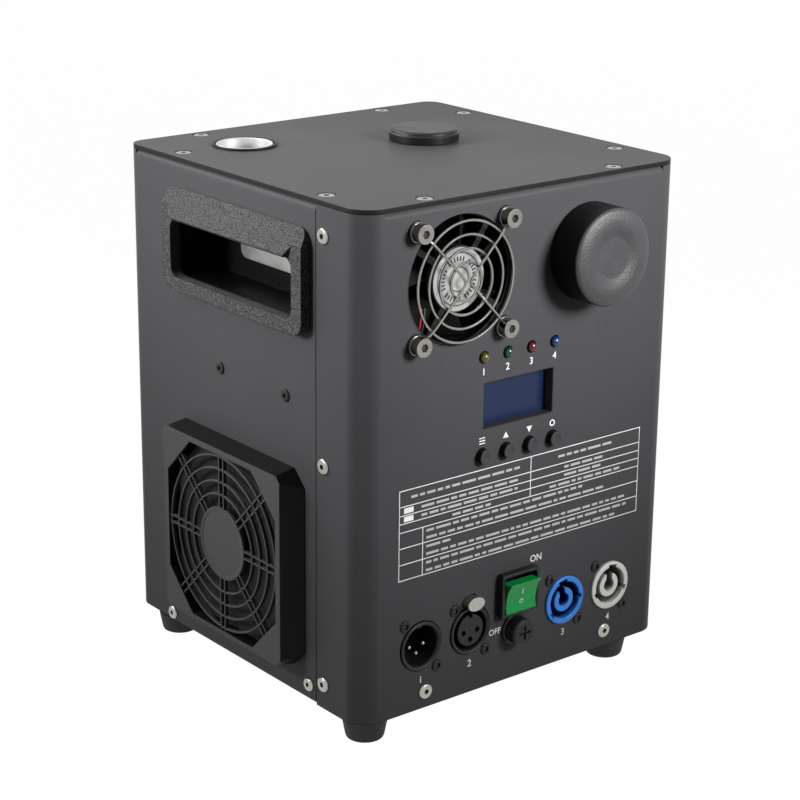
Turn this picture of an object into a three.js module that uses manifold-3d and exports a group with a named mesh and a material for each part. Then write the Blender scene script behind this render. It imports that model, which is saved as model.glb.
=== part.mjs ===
// Cold spark machine: a box-shaped stage effect that heats metal granules and blows them up
// through a nozzle. Millimetres, +Z up. The control panel faces -Y and the side fan faces -X.
import * as THREE from "three";
import { mergeVertices } from "three/addons/utils/BufferGeometryUtils.js";
import Module from "manifold-3d";

const wasm = await Module();
wasm.setup();

// Sizes shared by every piece
const fit = 0.3; // gap between pieces that rest on each other
const overrun = 2; // how far a cutter reaches past what it cuts
const weld = 0.0001; // vertices closer than this are one vertex
const half = 0.5;
const fine = 20; // sides of a large round piece
const medium = 12;
const coarse = 8;
const bendSteps = 6; // straight pieces in a sheet's bend
const cornerSteps = 4;
const keySides = 6;

// Housing: bent sheet on a pan with rubber feet, closed by a thicker lid
const body = { width: 188, depth: 183, height: 237 };
const sheet = 1.5;
const bend = { front: 12, rear: 8, top: 3 };
const shell = { returnDepth: 32.3, seam: 0.4, flange: 12, notch: 12, rearLift: 1 };
const lid = { thickness: 2, screwInsetSide: 8.4, screwInsetEnd: 6, screwAlongX: 55.7, screwAlongY: 55.5 };
const countersink = { radius: 4.4, bore: 2.2 };
const pan = { flange: 15 };
const foot = { height: 10, top: 10.6, bottom: 9, edge: 1.2, recess: 4, recessDepth: 6 };
const footPattern = { insetX: 38, insetY: 31, x: -8, y: -5 };

// Planes that the places below are measured from
const front = -body.depth / 2;
const rear = body.depth / 2;
const left = -body.width / 2;
const right = body.width / 2;
const lidTop = foot.height + body.height;
const lidUnder = lidTop - lid.thickness;
const shellTop = lidUnder - fit;
const behind = -sheet - fit;

// Depths below the lid's top of everything that hangs from the upper part of the housing
const belowLid = {
  handleHigh: 14, hoodStart: 16, hoodEdge: 26.6, hoodUnder: 27.8, openHigh: 28, openLow: 55.8, handleLow: 62,
  gripHigh: 29.5, gripLow: 46.2, port: 35.2, fan: 37.4, shoulder: 47,
};

// Places across the front panel, as shares of the body's width
const acrossShares = {
  frontFan: -0.21064, dmxIn: -0.3149, dmxOut: -0.15957, powerIn: 0.15213, powerOut: 0.31011,
};

// Carrying handle: a raised rim with a hooded top edge and a finger pocket behind it
const handleInset = { rim: 36.5, hoodTop: 39, opening: 43.8, hoodEdge: 47.2, grip: 64 };
const handle = {
  halfLength: rear - handleInset.rim, low: lidTop - belowLid.handleLow, high: lidTop - belowLid.handleHigh,
  openHalf: rear - handleInset.opening,
  openLow: lidTop - belowLid.openLow, openHigh: lidTop - belowLid.openHigh,
  hoodHalfTop: rear - handleInset.hoodTop, hoodHalfEdge: rear - handleInset.hoodEdge,
  hoodStart: lidTop - belowLid.hoodStart, hoodEdge: lidTop - belowLid.hoodEdge,
  hoodUnder: lidTop - belowLid.hoodUnder, hoodTop: 0.8, hoodProud: 8, hoodBack: 6.8,
  corner: 6, openCorner: 5, proud: 5.2, depth: 22, wall: 1.5,
};
const gripPlate = {
  half: rear - handleInset.grip, low: lidTop - belowLid.gripLow, high: lidTop - belowLid.gripHigh,
  corner: 4.5, thickness: 1,
};

// Fans: the front one shows its hub through a wire guard, the side one sits behind a grille
const frontFan = {
  x: acrossShares.frontFan * body.width, z: lidTop - belowLid.fan,
  size: 60, depth: 25, pitch: 50, duct: 28.7, hub: 15, blades: 7,
};
const sideFan = { y: 1.2, z: 72.5, size: 92, depth: 25, pitch: 82.5, duct: 44, hub: 19, blades: 7 };
const fanMould = {
  flange: 3.5, wall: 1.6, corner: 3, hole: 2.3, strut: 3, strutDepth: 3,
  tipGap: 1, bladeThick: 1.3, bladeAngle: 0.75, bladeShare: 0.85, hubGap: 0.5, rootSink: 1.5,
};
const fanHole = { front: 29.5, side: 44 };
const guard = {
  rings: [27.2, 20.9, 14.8, 8.7], wire: 0.8, ringOut: 3.6, bowOut: 4.5, bowNear: 4,
  head: 4.4, headOut: 6.4, headBase: 1.4, washer: 4.9, shank: 2, shankEnd: 9, socket: 1.9, socketDepth: 2.4,
  wireSides: 4, bowSteps: 11,
};
const grille = {
  lift: 0.3, baseY: 52, baseZ: 48.2, baseCorner: 8, faceY: 47.2, faceZ: 46.4, faceCorner: 3, proud: 11,
  openHalf: 43.8, openChamfer: 19, disc: 17.8, rings: [24.1, 30.3, 36.5, 42.7], bar: 1.3,
  back: 8.4, front: 10.4, spokes: 8, spokeSide: 1.7, spokeBar: 0.9, ringSides: 16,
};
const filter = { half: 43, back: 2, front: 5 };

// Powder filler and hopper under the lid, nozzle and heated tube
const filler = {
  fromRight: 69.4, y: 13.1, cap: 16.9, capHeight: 6, capEdge: 1.2, capWall: 1.6,
  hole: 15, neck: 14.7, bore: 12.5, rise: 2.6, flange: 20, flangeThick: 3,
};
const hopper = {
  radius: 30, wall: 1.5, flange: 36, flangeThick: 2.5, shoulder: lidTop - belowLid.shoulder,
  slope: 16, spout: 7.9, spoutReach: 3,
};
const nozzle = {
  fromLeft: 40.9, fromRear: 39.1, collar: 15.4, collarRise: 1, collarNeck: 14.6, plateHole: 14.9,
  collarDepth: 2.4, tube: 13.6, bore: 12.4,
};
const sleeve = { wall: 3.6, aboveDuct: 7, belowFeed: 11 };
const coil = { wire: 2, aboveSleeve: 4, pitch: 6, turns: 4, lead: 22, stepsPerTurn: 9, sides: 5, gap: 1.8 };

// Clean-out port behind the large round cap on the front panel
const port = { aside: 10.7, neck: 15.2, bore: 13.3, hole: 15.6, reach: 4.5, flange: 20, flangeThick: 2 };
const portCap = { radius: 22.8, rim: 17.6, edge: 1.2, flat: 12.6, dish: 18, cavity: 16.1, cavityDepth: 7.2 };
const seal = { outer: 15.8, inner: 12 };

// Status lights, display and buttons, all on one board behind the front panel
const controls = { x: -4, pitch: 14.2, belowFan: 7.8, displayDrop: 23, buttonDrop: 23.2 };
const columnShares = [-1.5, -0.5, 0.5, 1.5];
const led = { lens: 2.8, hole: 3.1, dome: 2.2, shoulder: 0.6, flange: 3.3, tail: 9.5 };
const lensShares = { side: 0.8, sideRise: 0.6, top: 0.45, topRise: 0.9 };
const display = { windowX: 42.5, windowZ: 22.2, glassX: 46, glassZ: 26, recess: 5, thickness: 4.5 };
const button = {
  radius: 3.5, hole: 3.85, proud: 3.5, edge: 0.4, flange: 4.7, flangeThick: 1.3, stem: 2.6, tail: 8.1,
};
const board = {
  halfX: 51, low: 66, belowFan: 1.6, front: 9.8, thickness: 1.6,
  switchSize: 6, switchRise: 0.9, chipX: 24, chipZ: 30, chipRise: 4, chipLow: 80,
};
const stud = { x: 46.7, fromLow: 3.7, fromHigh: 5.6, radius: 2.5 };

// Round sockets in a row, each with a flange behind the panel
const socketRow = {
  z: 41.4, hole: 12.3, flangeGap: 3.2,
  dmxIn: acrossShares.dmxIn * body.width, dmxOut: acrossShares.dmxOut * body.width,
  powerIn: acrossShares.powerIn * body.width, powerOut: acrossShares.powerOut * body.width,
};
const socket = {
  flangeX: socketRow.dmxOut - socketRow.dmxIn - socketRow.flangeGap, flangeZ: 31, flangeCorner: 3,
  flangeThick: 2, barrel: 11.8, tail: 24, endRadius: 9.5, end: 30,
};
const dmxIn = { lip: 0.6, cavity: 9.6, depth: 14, pin: 1.2, pinTip: 3, pinX: 4.1, pinZ: -0.9, pinLowZ: -4.8 };
const dmxOut = {
  lip: 0.6, insert: 7.7, groove: 9.7, grooveDepth: 8, face: 0.3,
  hole: 1.3, holeDepth: 9, holeX: 4.1, holeZ: -0.6, holeLowZ: -4.6,
};
const latch = { z: 14.2, halfX: 5, halfZ: 3.4, out: 4.6, back: 6, clear: 0.4, travel: 2 };
const power = {
  barrel: 12, lip: 1.2, cavity: 9, depth: 12, post: 6, postBore: 3.1, postFront: 0.2,
  key: 10.4, keyWidth: 5, keyAngleIn: 2.2, keyAngleOut: 0.9,
};

// Rocker switch and fuse holder
const rocker = {
  x: -2.6, z: 54.3, frameX: 11.6, frameZ: 10.8, frameOut: 4.3, frameCorner: 1.5,
  bodyX: 10.4, bodyZ: 9.8, cutX: 10.7, cutZ: 10.1, wellX: 9.6, wellZ: 9, wellDepth: 7, depth: 18,
  keyX: 9.3, pivotOut: -1, tilt: 11, crest: 6.3, valley: 4.6, crestHalf: 8, neckHalf: 7, neckOut: 4.3,
  footHalf: 6.3, footOut: 0, keel: -5, tab: 3, tabThick: 0.8, tabLength: 7, tabGap: 6,
};
const fuse = {
  x: -3, z: 35.3, cap: 6.6, capOut: 8.1, capBase: 1.9, capEdge: 0.8, collar: 7.6, collarOut: 1.6,
  tube: 5.9, hole: 6.3, bore: 4.7, stem: 3.9, stemEnd: 4, link: 2.5, linkLength: 20,
  depth: 30, endWall: 2, slot: 1.2, slotLength: 7, slotDepth: 1.2,
};

// Feed screw from the hopper to the tube, with its gear motor
const feed = {
  belowSpout: 10, housing: 9, bore: 7.3, motorSide: 22, flange: 15, flangeThick: 2,
  socket: 10, socketRise: 12, mouth: 6.5,
};
const screw = {
  shaft: 2, flight: 6.9, root: 1.5, thickness: 1.4, pitch: 14, stepsPerTurn: 8, clear: 3, nearMotor: 12,
};
const motor = { gearbox: 15, gearboxLength: 18, can: 12, length: 40 };

// Blower and the duct that feeds the tube from below
const blower = {
  x: 20, belowFeed: 85, radius: 34, width: 31, outletLow: 14, outletReach: 38,
  wall: 1.6, inlet: 20, boss: 9, bossLength: 8, tongueAngle: 0.4, steps: 18,
};
const wheel = {
  tipGap: 9, width: 20, blades: 14, bladeDepth: 6, bladeThick: 1.2, disc: 1.6, hub: 10, hubDepth: 9,
};
const duct = { wall: 1.5, fanGap: 0.7, socketRise: 5, socket: 16 };
const bracket = { thickness: 1.5, halfWidth: 35, foot: 13, aboveAxis: 25.8 };

// Power electronics on the pan, laid out in shares of their board
const powerBoard = {
  left: -20, fromRight: 6, fromFront: 33.5, fromBlower: 4.9, rise: 8, thickness: 1.6, post: 3, postInset: 5,
  canHeight: 26, coreHeight: 26,
};
const canShares = { x: 0.185, y: [0.2, 0.444], radius: 0.1 };
const coreShares = { x: [0.63, 0.889], y: [0.622, 0.933] };
const sinkShares = { x: [0.472, 0.917], y: [0.111, 0.511] };
const heatSink = { base: 4, height: 26, fins: 7, fin: 1.8 };
const fanLead = {
  radius: 1.5, inset: 9.6, back: 16, drop: 20, boardInset: 3, boardDrop: 28, bow: 6, steps: 14, sides: 6,
};

// Places worked out from the sizes above
const fanBottom = frontFan.z - frontFan.size / 2;
const lightZ = fanBottom - controls.belowFan;
const displayZ = lightZ - controls.displayDrop;
const buttonZ = displayZ - controls.buttonDrop;
const boardHigh = fanBottom - board.belowFan;
const fillerX = right - filler.fromRight;
const portX = fillerX + port.aside;
const portZ = lidTop - belowLid.port;
const nozzleX = left + nozzle.fromLeft;
const nozzleY = rear - nozzle.fromRear;
const spoutTop = hopper.shoulder - hopper.slope;
const spoutEnd = spoutTop - hopper.spoutReach;
const feedZ = spoutEnd - feed.belowSpout;
const feedSpan = Math.hypot(fillerX - nozzleX, filler.y - nozzleY);
const blowerZ = feedZ - blower.belowFeed;
const blowerFront = nozzleY - blower.width / 2;
const wheelRadius = blower.radius - wheel.tipGap;
const ductTop = blowerZ + blower.radius;
const tubeBottom = ductTop + fit;
const sleeveLow = ductTop + sleeve.aboveDuct;
const sleeveHigh = feedZ - sleeve.belowFeed;
const coilRadius = nozzle.tube + fit + sleeve.wall + coil.gap + coil.wire;
const boardTop = foot.height + sheet + powerBoard.rise + powerBoard.thickness;
const boardSpan = {
  x: [powerBoard.left, right - powerBoard.fromRight],
  y: [front + powerBoard.fromFront, blowerFront - powerBoard.fromBlower],
};
const quarter = Math.PI / 2;
const turn = Math.PI * 2;

// A closed geometry as a solid, with its faces turned outwards.
function solidOf(geometry) {
  const bare = new THREE.BufferGeometry();
  bare.setAttribute("position", geometry.getAttribute("position"));
  if (geometry.index) bare.setIndex(geometry.index);
  const merged = mergeVertices(bare, weld);
  const index = merged.index.array;
  const corners = [];
  for (let i = 0; i < index.length; i += 3) {
    const [a, b, c] = [index[i], index[i + 1], index[i + 2]];
    if (a !== b && b !== c && c !== a) corners.push(a, b, c);
  }
  const make = (triangles) =>
    new wasm.Manifold(
      new wasm.Mesh({
        numProp: 3,
        vertProperties: merged.attributes.position.array,
        triVerts: Uint32Array.from(triangles),
      }),
    );
  const made = make(corners);
  return made.volume() < 0 ? make(corners.reverse()) : made;
}

// A solid as a three.js geometry, with the shading of flat facets.
function geometryOf(solid) {
  const mesh = solid.getMesh();
  const points = new Float32Array(mesh.numVert * 3);
  for (let i = 0; i < mesh.numVert; i++)
    points.set(mesh.vertProperties.subarray(i * mesh.numProp, i * mesh.numProp + 3), i * 3);
  const shared = new THREE.BufferGeometry();
  shared.setAttribute("position", new THREE.BufferAttribute(points, 3));
  shared.setIndex(new THREE.BufferAttribute(Uint32Array.from(mesh.triVerts), 1));
  const faceted = shared.toNonIndexed();
  faceted.computeVertexNormals();
  return faceted;
}

const join = (first, ...others) => others.reduce((sum, one) => sum.add(one), first);
const cut = (first, ...others) => others.reduce((sum, one) => sum.subtract(one), first);

// Directions: a piece is drawn flat in two coordinates and rises along the third.
const frames = {
  up: [[1, 0, 0], [0, 1, 0], [0, 0, 1]],
  front: [[1, 0, 0], [0, 0, 1], [0, -1, 0]],
  rear: [[1, 0, 0], [0, 0, 1], [0, 1, 0]],
  left: [[0, 1, 0], [0, 0, 1], [-1, 0, 0]],
  right: [[0, 1, 0], [0, 0, 1], [1, 0, 0]],
};

// Moves a geometry from its drawing frame to a direction, centred on a flat place.
function face(geometry, direction, place = [0, 0]) {
  const [a, b, out] = frames[direction].map((axis) => new THREE.Vector3(...axis));
  geometry.translate(place[0], place[1], 0);
  return geometry.applyMatrix4(new THREE.Matrix4().makeBasis(a, b, out));
}

// A flat outline with holes, extruded between two heights along a direction.
function slab(outline, low, high, direction, place, holes = []) {
  const shape = new THREE.Shape(outline);
  holes.forEach((hole) => shape.holes.push(new THREE.Path(hole)));
  const geometry = new THREE.ExtrudeGeometry(shape, { depth: high - low, bevelEnabled: false });
  geometry.translate(0, 0, low);
  return solidOf(face(geometry, direction, place));
}

// A profile of [radius, height] points turned about a direction.
function turned(profile, direction, place, sides = fine) {
  const geometry = new THREE.LatheGeometry(profile.map(([r, h]) => new THREE.Vector2(r, h)), sides);
  geometry.applyMatrix4(new THREE.Matrix4().makeRotationX(quarter));
  return solidOf(face(geometry, direction, place));
}

// A solid drawn upwards, turned about its axis and then faced in a direction.
function facing(solid, angle, direction, place = [0, 0]) {
  const geometry = geometryOf(solid);
  geometry.applyMatrix4(new THREE.Matrix4().makeRotationZ(angle));
  return solidOf(face(geometry, direction, place));
}

const rod = (radius, low, high, direction, place, sides = medium) =>
  turned([[0, low], [radius, low], [radius, high], [0, high]], direction, place, sides);

const pipe = (outer, inner, low, high, direction, place, sides = fine) =>
  turned([[inner, low], [outer, low], [outer, high], [inner, high], [inner, low]], direction, place, sides);

// A box between two corners.
function block(x0, x1, y0, y1, z0, z1) {
  const geometry = new THREE.BoxGeometry(x1 - x0, y1 - y0, z1 - z0);
  geometry.translate((x0 + x1) / 2, (y0 + y1) / 2, (z0 + z1) / 2);
  return solidOf(geometry);
}

// Points of an arc about a centre, from one angle to another.
function arc(x, y, radius, from, to, steps) {
  const points = [];
  for (let i = 0; i <= steps; i++) {
    const angle = from + ((to - from) * i) / steps;
    points.push(new THREE.Vector2(x + radius * Math.cos(angle), y + radius * Math.sin(angle)));
  }
  return points;
}

const circle = (radius, sides = fine) => arc(0, 0, radius, 0, turn, sides).slice(1);
const oval = (halfX, halfY, sides = medium) =>
  circle(1, sides).map((p) => new THREE.Vector2(p.x * halfX, p.y * halfY));

// A rectangle with round corners.
function rounded(x0, x1, y0, y1, radius, steps = cornerSteps) {
  return [
    ...arc(x1 - radius, y1 - radius, radius, 0, quarter, steps),
    ...arc(x0 + radius, y1 - radius, radius, quarter, 2 * quarter, steps),
    ...arc(x0 + radius, y0 + radius, radius, 2 * quarter, 3 * quarter, steps),
    ...arc(x1 - radius, y0 + radius, radius, 3 * quarter, turn, steps),
  ];
}

const polygon = (points) => points.map(([x, y]) => new THREE.Vector2(x, y));
const rectangle = (halfX, halfY) =>
  polygon([[halfX, halfY], [-halfX, halfY], [-halfX, -halfY], [halfX, -halfY]]);

// A rectangle with cut corners.
function chamfered(halfX, halfY, corner) {
  const [x, y] = [halfX - corner, halfY - corner];
  return polygon([
    [halfX, -y], [halfX, y], [x, halfY], [-x, halfY], [-halfX, y], [-halfX, -y], [-x, -halfY], [x, -halfY],
  ]);
}

// The body's plan outline, moved inwards by an inset.
function plan(inset) {
  const [x, y] = [body.width / 2 - inset, body.depth / 2 - inset];
  const [near, far] = [Math.max(bend.front - inset, fit), Math.max(bend.rear - inset, fit)];
  return [
    ...arc(x - far, y - far, far, 0, quarter, bendSteps),
    ...arc(far - x, y - far, far, quarter, 2 * quarter, bendSteps),
    ...arc(near - x, near - y, near, 2 * quarter, 3 * quarter, bendSteps),
    ...arc(x - near, near - y, near, 3 * quarter, turn, bendSteps),
  ];
}

// A solid between two outlines with as many points, each at its own height.
function loft(lowOutline, low, highOutline, high, direction, place) {
  const count = lowOutline.length;
  const points = [...lowOutline.map((p) => [p.x, p.y, low]), ...highOutline.map((p) => [p.x, p.y, high])];
  const faces = [];
  for (let i = 0; i < count; i++) {
    const next = (i + 1) % count;
    faces.push(i, next, count + next, i, count + next, count + i);
    if (i > 0 && i < count - 1) faces.push(0, i + 1, i, count, count + i, count + i + 1);
  }
  const geometry = new THREE.BufferGeometry();
  geometry.setAttribute("position", new THREE.Float32BufferAttribute(points.flat(), 3));
  geometry.setIndex(faces);
  return solidOf(face(geometry, direction, place));
}

// A round tube swept along a smooth path.
function swept(points, radius, steps, sides) {
  const path = new THREE.CatmullRomCurve3(points.map((p) => new THREE.Vector3(...p)));
  const section = new THREE.Shape(circle(radius, sides));
  return solidOf(new THREE.ExtrudeGeometry(section, { steps, bevelEnabled: false, extrudePath: path }));
}

// Finishes, as colours and gloss
const finish = (color, roughness, metalness = 0) =>
  new THREE.MeshStandardMaterial({ color, roughness, metalness });
const finishes = {
  coat: () => finish(0x3a3a3d, 0.5, 0.2),
  lidCoat: () => finish(0x4a4a4c, 0.45, 0.3),
  black: () => finish(0x141416, 0.5),
  textured: () => finish(0x2b2b2d, 0.8),
  rubber: () => finish(0x161617, 0.9),
  chrome: () => finish(0xd8d8dc, 0.15, 1),
  steel: () => finish(0xb4b6ba, 0.3, 1),
  aluminium: () => finish(0xc4c6c8, 0.35, 1),
  copper: () => finish(0xb4703c, 0.35, 1),
  ceramic: () => finish(0xd9d4c8, 0.9),
  laminate: () => finish(0x1f5a34, 0.6),
  glass: () => finish(0x2c3a5c, 0.1),
  blue: () => finish(0x1f7ae0, 0.4),
  grey: () => finish(0xc9cac6, 0.4),
  green: () => finish(0x0fa04a, 0.25),
};

// The machine: groups stand at the panel faces, so pieces are drawn from the face outwards
const machine = new THREE.Group();
const groupAt = (x, y, z) => {
  const group = new THREE.Group();
  group.position.set(x, y, z);
  machine.add(group);
  return group;
};
const onFront = groupAt(0, front, 0);
const onLeft = groupAt(left, 0, 0);
const onRight = groupAt(-left, 0, 0);
const onLid = groupAt(0, 0, lidTop);

function add(name, solid, material, group = machine, place = [0, 0, 0]) {
  const mesh = new THREE.Mesh(geometryOf(solid), material);
  mesh.name = name;
  mesh.position.set(...place);
  group.add(mesh);
}

// Housing

// The profile of a bent top edge: a quarter bend and an inward flange.
function bentEdge(at, inward) {
  const [outer, inner] = [bend.top, bend.top - sheet];
  const bendPoints = (radius) => {
    const points = arc(0, 0, radius, 2 * quarter, quarter, cornerSteps);
    return points.map((p) => [at + inward * (bend.top + p.x), shellTop - bend.top + p.y]);
  };
  const tip = at + inward * shell.flange;
  const flange = [[tip, shellTop], [tip, shellTop - sheet]];
  return polygon([...bendPoints(outer), ...flange, ...bendPoints(inner).reverse()]);
}

function frontShell() {
  const [x, depth] = [body.width / 2, shell.returnDepth];
  const wall = (inset) => [
    new THREE.Vector2(inset - x, depth),
    ...arc(bend.front - x, bend.front, bend.front - inset, 2 * quarter, 3 * quarter, bendSteps),
    ...arc(x - bend.front, bend.front, bend.front - inset, 3 * quarter, turn, bendSteps),
    new THREE.Vector2(x - inset, depth),
  ];
  const outline = [...wall(0), ...wall(sheet).reverse()];
  const span = x - shell.notch;
  const wrap = slab(outline, foot.height, shellTop, "up");
  const edgeCut = block(-span, span, -overrun, sheet + overrun, shellTop - bend.top, shellTop + overrun);
  const edge = slab(bentEdge(0, 1), -span, span, "right");
  const studs = [];
  for (const sx of [-stud.x, stud.x])
    for (const z of [board.low + stud.fromLow, boardHigh - stud.fromHigh])
      studs.push(rod(stud.radius, fit - board.front, -sheet * half, "front", [sx, z], coarse));
  return cut(join(cut(wrap, edgeCut), edge, ...studs), ...frontHoles());
}

function frontHoles() {
  const [low, high] = [-sheet - overrun, overrun];
  const bore = (radius, x, z, sides) => rod(radius, low, high, "front", [x, z], sides);
  const window = (halfX, halfZ, x, z) => slab(rectangle(halfX, halfZ), low, high, "front", [x, z]);
  const latchHole = oval(latch.halfX + latch.clear, latch.halfZ + latch.clear);
  const holes = [
    bore(fanHole.front, frontFan.x, frontFan.z, fine),
    bore(port.hole, portX, portZ, fine),
    window(display.windowX / 2, display.windowZ / 2, controls.x, displayZ),
    window(rocker.cutX, rocker.cutZ, rocker.x, rocker.z),
    bore(fuse.hole, fuse.x, fuse.z),
    slab(latchHole, low, high, "front", [socketRow.dmxOut, socketRow.z + latch.z]),
  ];
  for (const [x, z] of flatPlaces(frontFan.pitch))
    holes.push(bore(fanMould.hole, frontFan.x + x, frontFan.z + z, coarse));
  for (const x of [socketRow.dmxIn, socketRow.dmxOut, socketRow.powerIn, socketRow.powerOut])
    holes.push(bore(socketRow.hole, x, socketRow.z, fine));
  for (const x of controlColumns()) {
    holes.push(bore(led.hole, x, lightZ, coarse));
    holes.push(bore(button.hole, x, buttonZ, coarse));
  }
  return holes;
}

const controlColumns = () => columnShares.map((share) => controls.x + share * controls.pitch);
const signs = [[1, 1], [-1, 1], [-1, -1], [1, -1]];
const flatPlaces = (pitch) => signs.map(([a, b]) => [(a * pitch) / 2, (b * pitch) / 2]);

function rearShell() {
  const [x, start] = [body.width / 2, front + shell.returnDepth + shell.seam];
  const wall = (inset) => [
    new THREE.Vector2(x - inset, start),
    ...arc(x - bend.rear, rear - bend.rear, bend.rear - inset, 0, quarter, bendSteps),
    ...arc(bend.rear - x, rear - bend.rear, bend.rear - inset, quarter, 2 * quarter, bendSteps),
    new THREE.Vector2(inset - x, start),
  ];
  const wrap = slab([...wall(0), ...wall(sheet).reverse()], foot.height + shell.rearLift, shellTop, "up");
  const [sideEnd, rearHalf, low] = [rear - bend.rear, x - bend.rear, shellTop - bend.top];
  const trims = [
    block(-x - overrun, sheet + overrun - x, start - overrun, sideEnd, low, shellTop + overrun),
    block(x - sheet - overrun, x + overrun, start - overrun, sideEnd, low, shellTop + overrun),
    block(-rearHalf, rearHalf, rear - sheet - overrun, rear + overrun, low, shellTop + overrun),
  ];
  const edges = [
    slab(bentEdge(-x, 1), start, sideEnd, "rear"),
    slab(bentEdge(x, -1), start, sideEnd, "rear"),
    slab(bentEdge(rear, -1), -rearHalf, rearHalf, "right"),
  ];
  const pocket = handle.openHalf + handle.wall + fit;
  const [pocketLow, pocketHigh] = [handle.openLow - handle.wall - fit, handle.openHigh + handle.wall + fit];
  const holes = [
    block(-x - overrun, x + overrun, -pocket, pocket, pocketLow, pocketHigh),
    rod(fanHole.side, x - sheet - overrun, x + overrun, "left", [sideFan.y, sideFan.z], fine),
  ];
  return cut(join(cut(wrap, ...trims), ...edges), ...holes);
}

function basePan() {
  const inset = sheet + fit;
  const top = foot.height + sheet;
  const tray = cut(
    slab(plan(inset), foot.height, foot.height + pan.flange, "up"),
    slab(plan(inset + sheet), top, foot.height + pan.flange + overrun, "up"),
  );
  return join(tray, ...boardPosts(top));
}

function boardPosts(floor) {
  const b = powerBoard;
  const posts = [];
  const inside = ([low, high]) => [low + b.postInset, high - b.postInset];
  for (const x of inside(boardSpan.x))
    for (const y of inside(boardSpan.y))
      posts.push(rod(b.post, floor - sheet * half, floor + b.rise - fit, "up", [x, y], coarse));
  return posts;
}

function topCover() {
  const plate = slab(plan(0), -lid.thickness, 0, "up");
  const { radius, bore } = countersink;
  const below = -lid.thickness - overrun;
  const profile = [
    [0, below], [bore, below], [bore, -lid.thickness], [radius, 0], [radius, overrun], [0, overrun],
  ];
  const cone = (x, y) => turned(profile, "up", [x, y], coarse);
  const cones = [];
  for (const sx of [-1, 1])
    for (const sy of [-1, 1]) {
      cones.push(cone(sx * (body.width / 2 - lid.screwInsetSide), sy * lid.screwAlongY));
      cones.push(cone(sx * lid.screwAlongX, sy * (body.depth / 2 - lid.screwInsetEnd)));
    }
  const hole = (size, x, y) => rod(size, below, overrun, "up", [x, y], fine);
  return cut(plate, hole(nozzle.plateHole, nozzleX, nozzleY), hole(filler.hole, fillerX, filler.y), ...cones);
}

function rubberFoot() {
  const [top, mid] = [foot.height - fit, foot.edge];
  return turned(
    [[0, foot.recessDepth], [foot.recess, foot.recessDepth], [foot.recess, 0], [foot.bottom - mid, 0],
      [foot.bottom, mid], [foot.top, top], [0, top]],
    "up", [0, 0], medium,
  );
}

add("base_pan", basePan(), finishes.coat());
add("front_shell", frontShell(), finishes.coat(), onFront);
add("rear_shell", rearShell(), finishes.coat());
add("top_cover", topCover(), finishes.lidCoat(), onLid);
const footSigns = { front_left: [-1, -1], front_right: [1, -1], rear_left: [-1, 1], rear_right: [1, 1] };
for (const [name, [sx, sy]] of Object.entries(footSigns)) {
  const x = footPattern.x + (sx * (body.width - footPattern.insetX)) / 2;
  const y = footPattern.y + (sy * (body.depth - footPattern.insetY)) / 2;
  add(`foot_${name}`, rubberFoot(), finishes.rubber(), machine, [x, y, 0]);
}

// Carrying handles

function carryingHandle(direction) {
  const h = handle;
  const rim = slab(rounded(-h.halfLength, h.halfLength, h.low, h.high, h.corner), fit, h.proud, direction);
  const [hood, above] = hoodSolids(direction);
  const [reach, low, high] = [h.openHalf + h.wall, h.openLow - h.wall, h.openHigh + h.wall];
  const walls = rounded(-reach, reach, low, high, h.openCorner + h.wall);
  const pocket = slab(walls, -h.depth - h.wall, h.proud, direction);
  const inside = rounded(-h.openHalf, h.openHalf, h.openLow, h.openHigh, h.openCorner);
  const opening = slab(inside, -h.depth, h.hoodProud + overrun, direction);
  return cut(join(cut(rim, above), pocket, hood), opening);
}

// The hood: a sloping face over the opening, narrower at its lower edge, and the room above that face.
function hoodSolids(direction) {
  const h = handle;
  const back = h.proud * half;
  const slope = (h.hoodProud - h.hoodTop) / (h.high - h.hoodEdge);
  const onSlope = (z) => h.hoodTop + slope * (h.high - z);
  const top = h.high - (back - h.hoodTop) / slope;
  const [beyond, clear] = [h.high + overrun, h.hoodProud + overrun];
  const edge = [h.hoodProud, h.hoodEdge];
  const under = [[h.hoodBack, h.hoodUnder], [fit, h.hoodUnder], [fit, top]];
  const profile = [[onSlope(top) - fit, top], edge, ...under];
  const room = [[onSlope(beyond), beyond], edge, [clear, h.hoodEdge], [clear, beyond]];
  const [wide, narrow] = [h.hoodHalfTop, h.hoodHalfEdge];
  const outline = [
    [-wide, h.high], [-wide, h.hoodStart], [-narrow, h.hoodUnder],
    [narrow, h.hoodUnder], [wide, h.hoodStart], [wide, h.high],
  ];
  const mask = slab(polygon(outline), 0, clear, direction);
  const hood = across(profile, h.halfLength, direction).intersect(mask);
  return [hood, across(room, h.halfLength + overrun, direction)];
}

// An upright profile of [outward, height] points, extruded sideways about the middle of a side panel.
function across(profile, reach, direction) {
  const shape = new THREE.Shape(polygon(profile));
  const geometry = new THREE.ExtrudeGeometry(shape, { depth: 2 * reach, bevelEnabled: false });
  geometry.translate(0, 0, -reach);
  const out = new THREE.Vector3(...frames[direction][2]);
  const up = new THREE.Vector3(0, 0, 1);
  geometry.applyMatrix4(new THREE.Matrix4().makeBasis(out, up, out.clone().cross(up)));
  return solidOf(geometry);
}

function gripPlateSolid(direction) {
  const g = gripPlate;
  const low = fit - handle.depth;
  return slab(rounded(-g.half, g.half, g.low, g.high, g.corner), low, low + g.thickness, direction);
}

add("left_handle", carryingHandle("left"), finishes.textured(), onLeft);
add("right_handle", carryingHandle("right"), finishes.textured(), onRight);
add("left_grip_plate", gripPlateSolid("left"), finishes.steel(), onLeft);
add("right_grip_plate", gripPlateSolid("right"), finishes.steel(), onRight);

// Fans, drawn from the outer face of their frame inwards

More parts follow.
